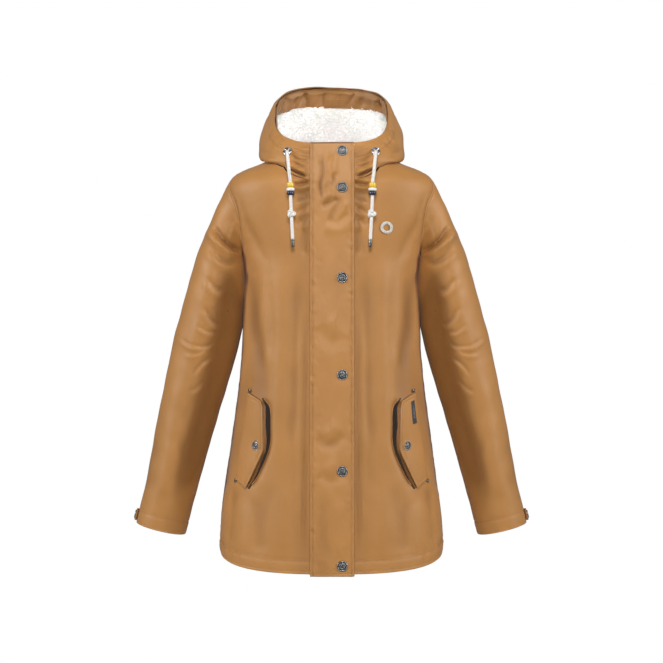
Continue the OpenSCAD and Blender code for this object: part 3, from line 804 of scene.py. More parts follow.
def make_draw_cord(name):
    side = SIDES[name]
    fall = mirrored(np.array(CORD_FALL), side)
    bead_dir = unit(fall[BEADS_AT + 4] - fall[BEADS_AT])
    path = spline(np.concatenate([mirrored(EYELET + CORD_TOP, side), fall]), 300)
    obj = mesh_object("draw_cord_" + name, *tube(path, CORD_D / 2, 20, braid), CORD)

    knotted = knot_path(fall[KNOT_AT] + (0, -.0008, 0), bead_dir)
    knot = mesh_object("draw_cord_knot_" + name, *tube(knotted, .0031, 14, braid), CORD)

    tip_dir = unit(fall[-1] - fall[-2])
    tip = [(.0001, -.0004), (.0030, -.0002), (.0034, .0006), (.0034, .0022), (.0029, .0030),
           (.0029, .0036), (.0033, .0042), (.0031, .0100), (.0027, .0136), (.0020, .0150),
           (.0001, .0154)]
    end = moved(lathe(rounded(tip[::-1], 60), 32), facing(fall[-1] + .0004 * tip_dir, tip_dir))
    aglet = mesh_object("draw_cord_tip_" + name, *end, GUNMETAL)

    parts, slots = [], []
    # Each bead's place along the cord, height and radius: yellow, white and navy.
    for n, (begin, high, r) in enumerate([(0, .0084, .0062), (.009, .006, .0075), (.0156, .0066, .0069)]):
        bore = CORD_D / 2 + .0004
        edge = [(bore, .0008), (bore + .0006, .0001), (r - .0016, 0), (r - .0003, .0012),
                (r, high / 2), (r - .0003, high - .0012), (r - .0016, high),
                (bore + .0006, high - .0001), (bore, high - .0008)]
        at = facing(fall[BEADS_AT] + (begin + BEADS_LOWER) * bead_dir, bead_dir)
        parts.append(moved(lathe(rounded(edge[::-1], 36), 40), at))
        slots += [n] * len(parts[-1][1])
    beads = mesh_object("cord_beads_on_" + name, *joined(parts), [YELLOW, WHITE, NAVY], slots)
    finish(obj, with_cord(), "cord", "drawcord_" + name)
    finish(knot, with_body("drawcord_" + name), "cord", "cord_knot_" + name)
    finish(aglet, with_body("drawcord_" + name), "metal", "cord_aglet_" + name)
    finish(beads, with_body("cord_beads_" + name), "beads", "cord_beads_" + name)


for name in SIDES:
    make_draw_cord(name)


# ---------- body panels ----------
ROWS, COLS = 190, 58      # of a front panel's grid
# Soft folds of a piece, on the wearer's left: points x, z down the fold, then its width and depth.
FRONT_FOLDS = [
    ([(.176, -.066), (.160, -.105), (.134, -.150), (.112, -.200)], .013, .0024),
    ([(.158, -.190), (.146, -.240), (.142, -.300), (.140, -.350)], .012, .0022),
    ([(.120, -.190), (.121, -.260), (.117, -.330), (.112, -.390)], .012, -.0022),
    ([(.098, -.170), (.092, -.270), (.094, -.370), (.102, -.470)], .020, -.0022),
    ([(.062, -.160), (.063, -.300), (.068, -.450), (.076, -.560)], .018, .0018),
    ([(.043, -.240), (.044, -.400), (.046, -.560), (.046, -.720)], .006, .0022),
    ([(.172, -.580), (.176, -.630), (.182, -.700)], .010, .0020),
    ([(.140, -.600), (.130, -.650), (.132, -.712)], .020, .0014),
    ([(.078, -.580), (.086, -.640), (.084, -.712)], .024, -.0016),
    ([(.064, -.086), (.050, -.078), (.038, -.070)], .0048, .0030),
    ([(.066, -.104), (.052, -.096), (.038, -.082)], .0060, .0026),
    ([(.062, -.128), (.050, -.114), (.039, -.104)], .0070, .0018),
    ([(.052, -.180), (.046, -.150), (.039, -.128)], .0080, .0016),
    ([(.070, -.046), (.060, -.052), (.048, -.050), (.037, -.046)], .0042, .0046),
]
BACK_FOLDS = [
    ([(.120, -.080), (.090, -.160), (.080, -.240)], .022, .0030),
    ([(.140, -.200), (.110, -.290), (.100, -.380)], .020, .0030),
    ([(.030, -.120), (.036, -.260), (.030, -.420)], .026, .0024),
    ([(.110, -.420), (.120, -.560), (.136, -.700)], .024, .0034),
    ([(.050, -.460), (.046, -.600), (.060, -.716)], .026, .0030),
    ([(.020, -.040), (.070, -.052), (.120, -.050)], .012, .0018),
]


def panel_grid(gap=0.0, inset=None, bottom=0.0, edge=ZIP_HALF, rows=ROWS, cols=COLS):
    """A front panel's smooth grid, from the zip to the side seam, with the armhole cut into it."""
    r = np.linspace(0, 1, rows)[:, None] ** 1.25
    s = np.linspace(0, 1, cols)[None, :]
    top, low = station(NECK, s * 90) - gap, hem_at(s * 90) + bottom
    z = top + (low - top) * r
    first = angle_at(edge, z)
    a = first + s * (panel_end(z) - first)
    depth = 0 if inset is None else station(LINING_IN, z) + inset
    return on_body(a, z, depth)


def back_grid(gap=0.0, inset=None, bottom=0.0, rows=ROWS, cols=2 * COLS):
    r = np.linspace(0, 1, rows)[:, None] ** 1.25
    s = np.linspace(-1, 1, cols)[None, :]
    top, low = station(NECK, 180 - abs(s) * 90) - gap, hem_at(180 - abs(s) * 90) + bottom
    z = top + (low - top) * r
    a = 180 + s * panel_end(z)
    depth = 0 if inset is None else station(LINING_IN, z) + inset
    return on_body(a, z, depth)


def folded(grid, folds, seed, swell=.0010):
    """Relief of soft folds, and of billows of that swell that fade out at the neck and hem."""
    x, z = np.abs(grid[..., 0]), grid[..., 2]
    total = (swell * billow(grid * (1, 1, .4), .06, seed)
             + .35 * swell * billow(grid * (1, 1, .6), .022, seed + 1))
    total = total * smooth((z - HEM_Z + .01) / .06) * smooth(-z / .05)
    for line, width, depth in folds:
        total = total + crease(x, z, line, width, depth)
    return total


def hem_relief(grid, seed):
    """The turned-up hem: a stitched line, with small drag lines across it."""
    far = lengths_from(grid, "bottom")
    drag = .0005 * bell(far - .018, .014) * billow(grid * (1, 1, .3), .008, seed)
    return (drag - .0009 * bell(far - HEM_STITCH, .0016) + .0007 * smooth((HEM_STITCH - far) / .003)
            - .0008 * smooth((.0025 - far) / .0025))


def seam_relief(grid, edges, seed):
    """Seams at these edges, with a line of stitching beside each, and the edge turned in."""
    total = 0
    for edge in edges:
        far = lengths_from(grid, edge)
        total = total + stitched_edge(grid, edge, seed)
        total = total - .0022 * smooth((.0028 - far) / .0028)
    return total


def raised(grid, relief, closed=False):
    return grid + relief[..., None] * normals(grid, closed)


def front_folds(grid):
    """The front panel's folds, flatter under the storm flap, and the hollow of the pocket's mouth."""
    x, z = np.abs(grid[..., 0]), grid[..., 2]
    ruffle = smooth((.085 - x) / .02) * smooth((z + .100) / .05)
    relief = folded(grid, FRONT_FOLDS, 11) + .0014 * ruffle * np.sin(2 * np.pi * (z + .25 * x) / .017)
    mouth, share = near_line(x, z, spline(MOUTH, 40)[:, (0, 2)])
    hollow = .0070 * bell(mouth, .0055) * smooth(8 * np.minimum(share, 1 - share))
    return relief * (.2 + .8 * smooth((x - .034) / .012)) - hollow


def make_front(name):
    side = SIDES[name]
    base = panel_grid()
    calm = smooth(lengths_from(base, "right") / .022)
    relief = front_folds(base) * calm + hem_relief(base, 21) + seam_relief(base, ["right"], 31)
    grid = raised(base, relief)
    front = cloth("front_" + name, grid, TAN, relief=relief, side=side)
    lines = [inset_line(grid, "bottom", HEM_STITCH), inset_line(grid, "right", SEAM_STITCH)]
    thread = stitching("front_thread_" + name, lines, with_body("root"), side)
    finish(front, with_body("root"), "shell", "front_panel_" + name)

    inside = panel_grid(.004, .002, .042, .016, 90, 30)
    lining_relief = .0012 * billow(inside, .05, 41)
    inside = raised(inside, lining_relief)
    lining = cloth("front_lining_cloth_" + name, inside, LINING, .0008, relief=lining_relief, side=side)
    finish(lining, with_body("root"), "lining", "front_lining_" + name)


def make_back():
    base = back_grid()
    calm = smooth(nearest_edge(base, "left", "right") / .022)
    relief = (folded(base, BACK_FOLDS, 13, .0022) * calm + hem_relief(base, 23)
              + seam_relief(base, ["left", "right"], 33))
    grid = raised(base, relief)
    back = cloth("back", grid, TAN, relief=relief)
    lines = [inset_line(grid, "bottom", HEM_STITCH)]
    lines += [inset_line(grid, edge, SEAM_STITCH) for edge in ("left", "right")]
    thread = stitching("back_thread", lines, with_body("root"))
    finish(back, with_body("root"), "shell", "back_panel")
    inside = back_grid(.009, .002, .042, 90, 60)
    lining_relief = .0012 * billow(inside, .05, 43)
    inside = raised(inside, lining_relief)
    lining = cloth("back_lining_cloth", inside, LINING, .0008, relief=lining_relief)
    finish(lining, with_body("root"), "lining", "back_lining")


def make_hem_facing():
    """The shell cloth turned up inside the hem."""
    first = float(angle_at(.014, HEM_Z))
    a = np.linspace(first, 360 - first, 240)[None, :]
    over = from_front(a)
    up = np.linspace(.040, .0005, 12)[:, None]
    flat = on_body(over, hem_at(over) + up, .0030)
    same = 1 + 0 * a + 0 * up
    flat = flat * np.stack([np.where(a > 180, -1, 1) + 0 * up, same, same], -1)
    relief = .0004 * billow(flat, .012, 51)
    grid = raised(flat, relief)
    obj = cloth("hem_turned_up", grid, TAN_IN_PAINTED_SHADE, .001, relief=relief)
    finish(obj, with_body("root"), "shell", "hem_facing")


for name in SIDES:
    make_front(name)
make_back()
make_hem_facing()


# ---------- sleeves ----------
SLEEVE_FOLDS = [
    ([(.212, -.122), (.196, -.144), (.176, -.162), (.158, -.172)], .0080, .0060),
    ([(.216, -.160), (.202, -.178), (.182, -.190), (.166, -.190)], .0075, .0026),
    ([(.222, -.215), (.204, -.236), (.186, -.240)], .0070, .0017),
    ([(.272, -.322), (.250, -.336), (.222, -.338), (.205, -.328)], .0040, .0013),
    ([(.262, -.350), (.242, -.352), (.222, -.342)], .0036, .0012),
    ([(.248, -.392), (.236, -.374), (.214, -.356)], .0044, .0016),
    ([(.226, -.268), (.212, -.292), (.192, -.304)], .0055, .0016),
    ([(.240, -.300), (.222, -.312), (.204, -.312)], .0040, .0011),
    ([(.256, -.420), (.240, -.412), (.224, -.396)], .0046, .0010),
    ([(.250, -.240), (.262, -.330), (.274, -.420)], .020, .0012),
    ([(.198, -.072), (.208, -.120), (.214, -.170)], .014, -.0012),
    ([(.280, -.470), (.292, -.540), (.306, -.610)], .018, -.0012),
    ([(.262, -.500), (.268, -.560), (.280, -.620)], .014, .0014),
]
LINING_FROM = 24      # the row of its grid at which the sleeve lining starts, below the armhole


def armhole_curve(phi):
    """The armhole seam on the body's surface, and the surface's normal there, for the left side."""
    z = -.104 + .074 * np.cos(np.radians(phi))
    a = armhole_at(z)
    a = np.where(phi > 180, 180 - a, a)
    return on_body(a, z), body_out(a, z)


def evened(values, times=40):
    """Values round a loop, each averaged with its neighbours so many times."""
    for _ in range(times):
        values = (np.roll(values, 1, 0) + 2 * values + np.roll(values, -1, 0)) / 4
    return values


def round_sleeve(cols):
    """Degrees round the sleeve from its outer side, through the back, the inner side and the front."""
    return 360 - np.linspace(0, 360, cols, endpoint=False)


def sleeve_grid(rows_top=70, rows_low=150, cols=128, inset=0.0, end=SLEEVE_L):
    phi = round_sleeve(cols)
    seam, out = armhole_curve(phi)
    ahead = armhole_curve(phi + .5)[0] - armhole_curve(phi - .5)[0]
    leave = unit(np.cross(unit(ahead), out))
    leave = leave * np.where(np.sum(leave * (seam - PIVOT), -1, keepdims=True) > 0, -1, 1)
    leave = unit(evened(leave))
    around = np.radians(phi)
    # Handles of the cap, from the seam and from the tube: armpit, front and back, top.
    spot = np.cos(around)
    reach = np.interp(spot, (-1, 0, 1), (.012, .030, .016))[:, None]
    pull = np.interp(spot, (-1, 0, 1), (.040, .045, .050))[:, None]
    t1 = np.interp(spot, (-1, 1), (.150, .110))
    # A lining lies inside the body's surface, and above the seam at the armpit.
    under = bell(phi - 180, 38)[:, None]
    seam = seam - inset * ((1 - under) * out + under * leave)
    tube_top = on_sleeve(phi, t1, inset)
    pull = pull * DOWN
    s = np.linspace(0, 1, rows_top)[:, None] * np.ones(cols)
    cap = bezier([seam, seam + reach * leave, tube_top - pull, tube_top], s)
    u = np.linspace(0, 1, rows_low + 1)[1:, None]
    low = on_sleeve(phi[None, :] + 0 * u, t1 + (end + CUFF_SAG * np.sin(around) - t1) * u, inset)
    return np.concatenate([cap, low])


def sleeve_folds(grid):
    """The sleeve's folds, deepest at the front, and the flatter side it turns to the body."""
    x, z = grid[..., 0], grid[..., 2]
    front = smooth((MID_Y + .02 - grid[..., 1]) / .04)
    relief = .0011 * billow(grid * (1, 1, .6), .06, 61) + .0005 * billow(grid, .018, 62)
    for line, width, depth in SLEEVE_FOLDS:
        relief = relief + crease(x, z, line, width, depth) * (.35 + .65 * front)
    top, low = lengths_from(grid, "top"), lengths_from(grid, "bottom")
    turn = round_sleeve(grid.shape[1])[None, :]
    # Pressed in this far, the flatter side also takes the coated cloth's darkest painted shade through its
    # relief.
    flat = bell(turn - 126, 30) * smooth((top - .06) / .08) * smooth((low - .03) / .16)
    return relief * smooth(top / .012) * (.25 + .75 * smooth((low - .02) / .05)) - .0105 * flat


def make_sleeve(name):
    side = SIDES[name]
    carry = with_sleeve()
    base = sleeve_grid()
    top, low = lengths_from(base, "top"), lengths_from(base, "bottom")
    relief = sleeve_folds(base)
    relief = relief + stitched_edge(base, "top", 63)
    relief = relief - .0009 * smooth((.002 - top) / .002)
    relief = (relief - .0008 * bell(low - HEM_STITCH, .0015) + .0005 * smooth((HEM_STITCH - low) / .003)
              - .0007 * smooth((.002 - low) / .002))
    # The sleeve's own seam runs down its inner side, slightly to the back.
    columns = round_sleeve(base.shape[1])[None, :]
    relief = relief - .0008 * bell(columns - 196, 1.8) * smooth(top / .02)
    grid = raised(base, relief, True)
    obj = cloth("sleeve_cloth_" + name, grid, TAN, closed=True, relief=relief, side=side)
    lines = [inset_line(grid, "top", SEAM_STITCH, True), inset_line(grid, "bottom", HEM_STITCH, True)]
    thread = stitching("sleeve_thread_" + name, lines, carry, side)
    finish(obj, carry, "shell", "sleeve_" + name)

    # The cuff's turned-in cloth, and the lining above it.
    phi = round_sleeve(96)[None, :]
    t = np.linspace(SLEEVE_L - .045, SLEEVE_L - .001, 14)[:, None]
    cuff = on_sleeve(phi + 0 * t, t + CUFF_SAG * np.sin(np.radians(phi)), .0030)
    cuff_relief = .0004 * billow(cuff, .014, 65)
    cuff = raised(cuff, cuff_relief, True)
    turned = cloth("cuff_turned_in_" + name, cuff, TAN_IN_PAINTED_SHADE, .001, closed=True, relief=cuff_relief, side=side)
    finish(turned, with_body("sleeve_" + name), "shell")
    inside = sleeve_grid(30, 60, 64, .0105, SLEEVE_L - .038)[LINING_FROM:]
    lining_relief = sleeve_folds(inside)
    inside = raised(inside, lining_relief, True)
    lining = cloth("sleeve_lining_cloth_" + name, inside, LINING, .0008, closed=True, relief=lining_relief,
                   side=side)
    finish(lining, carry, "lining", "sleeve_lining_" + name)


for name in SIDES:
    make_sleeve(name)


# ---------- hood ----------
def hood_grid(v0, v1, u0, u1, inset, rows, cols):
    """A band of the hood's surface. u0 and u1 may be tables by the angle from the front."""
    v = np.linspace(v0, v1, cols)[None, :]
    over = from_front(v)

    def at(value):
        return station(value, over) if isinstance(value, list) else value
    s = np.linspace(0, 1, rows)[:, None]
    u = at(u0) + (at(u1) - at(u0)) * s
    grid = hood(v + 0 * s, u + 0 * v)
    return grid - inset * normals(grid)


def make_hood():
    base = hood_grid(4, 356, 0, 1, 0, 96, 320)
    v = np.linspace(4, 356, 320)[None, :]
    u = np.linspace(0, 1, 96)[:, None]
    over = from_front(v)
    relief = .0022 * billow(base, .06, 71) * smooth(over / 90) + .0006 * billow(base, .02, 72)
    # Ruffles of the neck stand between the eyelet and the zip, and the deep tuck under them.
    ruffled = smooth((33 - over) / 9) * smooth((over - 10) / 5) * smooth((1 - u) / .05)
    arch = u + .00045 * (over - 18) ** 2
    between = smooth((u - .1) / .2) * smooth((.78 - u) / .1)
    relief = relief + .0013 * ruffled * np.sin(2 * np.pi * arch * 7.2) * between
    relief = relief - .0075 * ruffled * bell(arch - .90, .045)
    relief = relief + .0052 * ruffled * bell(arch - .78, .05)
    # The cloth rolls over the neck seam at the sides.
    sides = smooth((over - 34) / 30) * smooth((160 - over) / 40)
    relief = relief + .0115 * sides * bell(u - .86, .11) * smooth((1 - u) / .06)
    # Long soft folds that fan out over the hood's sides and back.
    fan = np.sin(np.radians(over * 9)) * smooth((over - 60) / 40) * np.sin(np.pi * np.clip(u, 0, 1))
    relief = relief + .0016 * fan
    # The rim's hem: padded, with a stitched line.
    far = lengths_from(base, "top")
    relief = relief - .0009 * bell(far - RIM_STITCH, .0018) + .0012 * bell(far - .010, .008)
    relief = relief + .0006 * billow(base, .007, 73) * bell(far - .020, .012)
    relief = relief - .0007 * smooth((.0015 - far) / .0015)
    # The cloth lies flat under the eyelets.
    folded_over = np.concatenate([np.abs(base[..., :1]), base[..., 1:]], -1)
    dist = np.linalg.norm(folded_over - EYELET, axis=-1)
    relief = relief * (1 - bell(dist, .012))
    grid = raised(base, relief)
    obj = cloth("hood_and_stand", grid, TAN, relief=relief)
    lines = [inset_line(grid, "top", RIM_STITCH), inset_line(grid, "bottom", SEAM_STITCH)]
    thread = stitching("hood_thread", lines, with_hood)
    finish(obj, with_hood, "shell", "hood_shell", "neck_stand_left", "neck_stand_right", "neck_band")


FACING_END = [(0, .10), (56, .12), (90, .24), (115, .31), (135, .345), (150, .335), (180, .335)]


def make_facing():
    """The strip of shell cloth inside the rim, gathered by the cord in its hem."""
    base = hood_grid(5, 355, .006, FACING_END, 0, 60, 360)
    v = np.linspace(5, 355, 360)[None, :]
    over = from_front(v)
    s = np.linspace(0, 1, 60)[:, None]
    gathers = (.0052 * np.abs(billow(base * (1, .5, .3), .020, 75))
               + .0020 * billow(base * (1, .6, .5), .011, 77))
    loose = smooth((over - 60) / 40) * np.sin(np.pi * s) ** .7
    relief = -.0035 - gathers * loose - .0065 * smooth((over - 70) / 40) * smooth(s / .25)
    for at, wide, size in ((229, 4.5, .0100), (240, 3.5, .0060), (131, 4.0, .0090), (122, 3.5, .0080),
                           (168, 3.0, .0050), (200, 4.0, .0055), (184, 2.5, .0030)):
        relief = relief + size * loose * bell(v - at - 9 * (s - .5), wide)
    relief = np.minimum(relief - .0006 * billow(base, .010, 76), -.0022)
    grid = raised(base, relief)
    obj = cloth("hood_facing_cloth", grid, TAN_IN_PAINTED_SHADE, .0012, relief=-relief)
    line, up = inset_line(grid, "top", .020)
    thread = stitching("hood_facing_thread", [(line - .0012 * up, -up)], with_hood)
    finish(obj, with_hood, "shell", "hood_facing")


def make_sherpa():
    """The sherpa lining of hood and stand: a deep curly pile, with two panel seams."""
    starts = [(a, u - .012) for a, u in FACING_END]
    base = hood_grid(6, 354, starts, .965, .0095, 230, 560)
    v = np.linspace(6, 354, 560)[None, :]
    seams = sum(bell(v - at, 1.1) for at in (152, 208))
    curls = (.0011 * np.abs(billow(base, .0045, 81)) + .0008 * billow(base, .0026, 82)
             + .0012 * billow(base, .012, 83))
    relief = -(curls + .0020 * billow(base, .05, 84)) + .0030 * seams
    grid = raised(base, relief)
    obj = cloth("sherpa_lining", grid, SHERPA, .0025, relief=-relief)
    finish(obj, with_hood, "sherpa", "hood_lining", "neck_lining_left", "neck_lining_right")

    # Loose curls standing out of the pile, thickest where it is seen.
    rng = np.random.default_rng(85)
    inward = -normals(base)
    parts = []
    for _ in range(4200):
        r, c = rng.integers(2, 150), rng.integers(4, 556)
        up = inward[r, c]
        spot = grid[r, c] + .0022 * up
        across = unit(np.cross(up, rng.normal(size=3)))
        over = np.cross(up, across)
        size = rng.uniform(.0012, .0022)
        turn = np.linspace(-.3, rng.uniform(2.6, 4.2), 6)[:, None]
        path = spot + size * ((1 - np.cos(turn)) * across + np.sin(turn) * up + .35 * turn * over)
        parts.append(tube(path, rng.uniform(.0003, .0005), 4))
    curl = mesh_object("sherpa_curls", *joined(parts), SHERPA)
    finish(curl, with_hood, "sherpa")


def make_rim_cord():
    """The cord's run through the rim's hem."""
    v = np.linspace(52, 308, 140)
    u = .1 + 0 * v
    g = hood(v, u)
    out = unit(np.cross(hood(v + .5, u) - hood(v - .5, u), hood(v, u + .01) - g))
    obj = mesh_object("rim_cord_run", *tube(g + .0022 * out, .0012, 10), CORD)
    finish(obj, with_hood, "cord", "rim_cord")


def make_hang_loop():
    """A narrow tape loop, sewn in at the back of the neck."""
    t = np.linspace(0, 1, 60)
    x = .026 * np.cos(np.pi * t)
    z = -.0005 - .0105 * np.sin(np.pi * t) ** .6
    path = np.stack([x, -.0004 + 0 * t, z], -1)
    along = frames(path)[0]
    across = np.linspace(-1, 1, 7)[:, None, None]
    grid = path[None] + across * .0026 * unit(np.cross(along, (0, 1, 0)))
    obj = cloth("hang_loop_tape", grid, TAPE, .0011)
    finish(obj, with_body("root"), "tape", "hang_loop")


make_hood()
make_facing()
make_sherpa()
make_rim_cord()
make_hang_loop()


# ---------- storm flap ----------
FLAP_FOLDS = [
    ([(-.020, .006), (-.014, -.026), (-.018, -.060), (-.008, -.094)], .0070, .0030),
    ([(.002, .012), (-.004, -.020), (.004, -.050)], .0065, .0022),
    ([(-.020, -.090), (-.004, -.084), (.012, -.074)], .0070, .0030),
    ([(.018, -.072), (.006, -.100), (-.006, -.120)], .0080, .0020),
    ([(.032, -.100), (.010, -.118), (-.010, -.112)], .0100, .0018),
    ([(.014, -.024), (-.004, -.036), (-.012, -.060)], .0060, -.0020),
    ([(-.030, -.300), (.000, -.330), (.030, -.318)], .020, .0016),
    ([(-.030, -.490), (-.006, -.512), (.030, -.490)], .014, .0020),
    ([(-.026, -.560), (.000, -.575), (.026, -.560)], .014, .0016),
    ([(-.010, -.600), (-.014, -.660), (-.004, -.720)], .016, .0016),
]


def with_flap(obj):
    """The flap keeps its place: its transform is baked into its points."""
    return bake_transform(obj)


def make_storm_flap():
    cols, rows = 44, 300
    x = np.linspace(FLAP_X[0], FLAP_X[1], cols)[None, :]
    z = np.linspace(FLAP_TOP, HEM_Z - .003, rows)[:, None]
    y = front_y(z) - FLAP_FACE
    base = np.stack([x + 0 * z, y + 0 * x, z + 0 * x], -1)
    relief = .0011 * billow(base * (1, 1, .5), .05, 91) + .0003 * billow(base, .014, 92)
    for line, width, depth in FLAP_FOLDS:
        relief = relief + crease(base[..., 0], base[..., 2], line, width, depth)
    for snap_z in SNAP_Z:
        dist = np.hypot(base[..., 0] - SNAP_X, base[..., 2] - snap_z)
        relief = relief * (1 - bell(dist, .013)) - .0004 * bell(dist, .012)
    edges = nearest_edge(base, "left", "right")
    relief = relief * (.25 + .75 * smooth(edges / .012))
    relief = (relief - .0011 * bell(edges - .0048, .0014) + .0006 * smooth((.0040 - edges) / .002)
              - .0009 * smooth((.0012 - edges) / .0012))
    relief = relief + .0003 * np.exp(-np.abs(edges - FLAP_STITCH) / .01) * billow(base, .005, 93)
    grid = raised(base, relief)
    obj = cloth("storm_flap_cloth", grid, TAN, .0026, relief=relief)
    lines = [inset_line(grid, edge, FLAP_STITCH) for edge in ("left", "right", "bottom")]
    thread = stitching("storm_flap_thread", lines, with_flap)
    finish(obj, with_flap, "shell", "storm_flap")


# ---------- snaps, rivets and eyelets ----------
def cap_wave(r, h, turn):
    """A generic cap face: a ring of small ribs between two smooth rings."""
    ribs = bell(r - .0052, .0011) * np.cos(28 * turn)
    petals = bell(r - .0024, .0009) * np.cos(6 * turn)
    return .00034 * ribs + .00022 * petals


def snap_cap(radius=.0095, high=.0028):
    s = radius / .0095
    profile = [(.0001, high * .80), (.0016 * s, high * .80), (.0034 * s, high * .62),
               (.0042 * s, high * .78), (.0052 * s, high * .70), (.0060 * s, high * .55),
               (.0066 * s, high * .16), (.0074 * s, high * .60), (.0084 * s, high * .72),
               (.0093 * s, high * .42), (.0095 * s, .0001), (.0080 * s, 0)]
    return lathe(rounded(profile, 64), 84, cap_wave)


def at_front(z, lift):
    return facing(np.array((SNAP_X, float(front_y(z)), z)) + lift * front_out(z), front_out(z))


def metal_piece(name, parts, carry, nodes, mat=None):
    return finish(mesh_object(name, *joined(parts), mat or GUNMETAL), carry, "metal", *nodes)


def turned(profile, count=30, turns=40):
    return lathe(rounded(profile, count), turns)


# Turned outlines, as radius and height.
SOCKET = [(.0030, .0002), (.0030, .0014), (.0034, .0018), (.0050, .0018), (.0055, .0012),
          (.0055, .0004), (.0048, 0)]
STUD = [(.0001, .0030), (.0014, .0030), (.0019, .0025), (.0015, .0016), (.0017, .0010),
        (.0040, .0008), (.0053, .0006), (.0055, .0001), (.0040, 0)]
RIVET = [(.0001, .0011), (.0012, .0010), (.0016, .0006), (.0022, .0012), (.0033, .0009), (.0036, .0001)]


def scaled(profile, wide, high):
    return [(r * wide, h * high) for r, h in profile]


def make_front_snaps():
    caps = [moved(snap_cap(), at_front(z, FLAP_FACE - .0002)) for z in SNAP_Z]
    metal_piece("storm_flap_caps", caps, with_body("storm_flap"), ["flap_snap_caps"])
    sockets = [moved(turned(SOCKET), at_front(z, .0022)) for z in SNAP_Z]
    metal_piece("storm_flap_sockets", sockets, with_body("storm_flap"), ["flap_snap_sockets"])
    studs = [moved(turned(STUD), at_front(z, .0007)) for z in SNAP_Z]
    metal_piece("front_studs", studs, with_body("root"), ["front_snap_studs"])


def make_eyelets():
    flange = [(.0037, -.0030), (.0037, .0004), (.0042, .0015), (.0056, .0019), (.0068, .0014),
              (.0072, .0007), (.0076, .0012), (.0080, .0007), (.0080, 0), (.0060, -.0002)]
    parts = []
    for side in SIDES.values():
        out = mirrored(EYELET_OUT, side)
        parts.append(moved(turned(flange, 60, 64), facing(mirrored(EYELET, side) + .0014 * out, out)))
    metal_piece("hood_eyelets", parts, with_body("root"), ["eyelets"], SILVER)
    for name, side in SIDES.items():
        stub = EYELET + np.linspace(-.0045, .0002, 8)[:, None] * EYELET_OUT
        inside = tube(mirrored(stub, side), CORD_D / 2 - .0002, 16)
        cord = mesh_object("cord_in_eyelet_" + name, *inside, CORD)
        finish(cord, with_body("root"), "cord", "channel_cord_" + name)


make_storm_flap()
make_front_snaps()
make_eyelets()


# ---------- zip ----------
ZIP_TOP, ZIP_LOW = -.050, -.700
ZIP_IN = .0032        # how far the zip lies behind the front line
TOOTH_PITCH = .0052
TOOTH = [(-.0024, 0), (-.0024, .0015), (-.0002, .0013), (.0010, .0016), (.0018, .0010),
         (.0018, -.0010), (.0010, -.0016), (-.0002, -.0013), (-.0024, -.0015)]


def on_front(x, z, lift):
    """Points on the front line, a lift in front of it."""
    z = np.asarray(z, float)
    return np.stack([x + 0 * z, front_y(z) - lift, z], -1)


def zip_tooth(side, z):
    """Points and faces of one tooth: its outline at four depths, the outer two smaller."""
    x, up = np.array(TOOTH).T
    middle = on_front(side * .0006, z, -ZIP_IN)
    rings = [middle + np.stack([-side * x * size, lift + 0 * x, up * size], -1)
             for lift, size in ((-.0012, .7), (-.0009, 1), (.0009, 1), (.0012, .7))]
    count = len(TOOTH)
    ends = [list(range(count)), list(range(3 * count, 4 * count))[::-1]]
    return np.concatenate(rings), quads(np.arange(4 * count).reshape(4, count), True) + ends


def make_zip():
    parts = []
    for n in range(int((ZIP_TOP - ZIP_LOW - .02) / TOOTH_PITCH)):
        for side in (-1, 1):
            parts.append(zip_tooth(side, ZIP_LOW + .006 + (n + (.5 if side > 0 else 0)) * TOOTH_PITCH))
    metal_piece("zip_teeth_rows", parts, with_body("root"), ["zip_teeth"])
    for name, side in SIDES.items():
        z = np.linspace(ZIP_TOP, ZIP_LOW, 160)[:, None]
        x = np.linspace(.0030, .0154, 9)[None, :]
        grid = on_front(x, z + 0 * x, -ZIP_IN + .0003)
        relief = .0004 * bell(x - .0042, .0008) + 0 * z
        grid = raised(grid, relief)
        tape = cloth("zip_tape_cloth_" + name, grid, TAPE, .0007, relief=relief, side=side)
        finish(tape, with_body("root"), "tape", "zip_tape_" + name)


make_zip()


# ---------- pockets ----------
def pocket_point(s, w, lift):
    """A point of the pocket flap: s down it, w from the free edge to the sewn one."""
    keys = np.array([0, .10, .30, .58, 1])
    fx, fz = (station(list(zip(keys, [p[k] for p in POCKET_FREE])), s, .03) for k in (0, 1))
    sx, sz = (POCKET_SEWN[0][k] + (POCKET_SEWN[1][k] - POCKET_SEWN[0][k]) * s for k in (0, 1))
    x, z = fx + (sx - fx) * w, fz + (sz - fz) * w
    a = angle_at(x, z)
    return on_body(a, z) + np.asarray(lift)[..., None] * body_out(a, z)


def with_pocket_flap():
    """Works out the flap's hinge line and the way it opens, but uses neither: the piece keeps its place,
    its transform baked into its points.
    """
    low, high, middle, inner = (pocket_point(np.array(s), np.array(w), 0) for s, w in
                                ((1, 1), (0, 1), (.5, 1), (.5, .6)))
    along = unit(low - high)
    way = inner - middle
    way = unit(way - np.dot(way, along) * along)
    return lambda obj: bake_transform(obj)


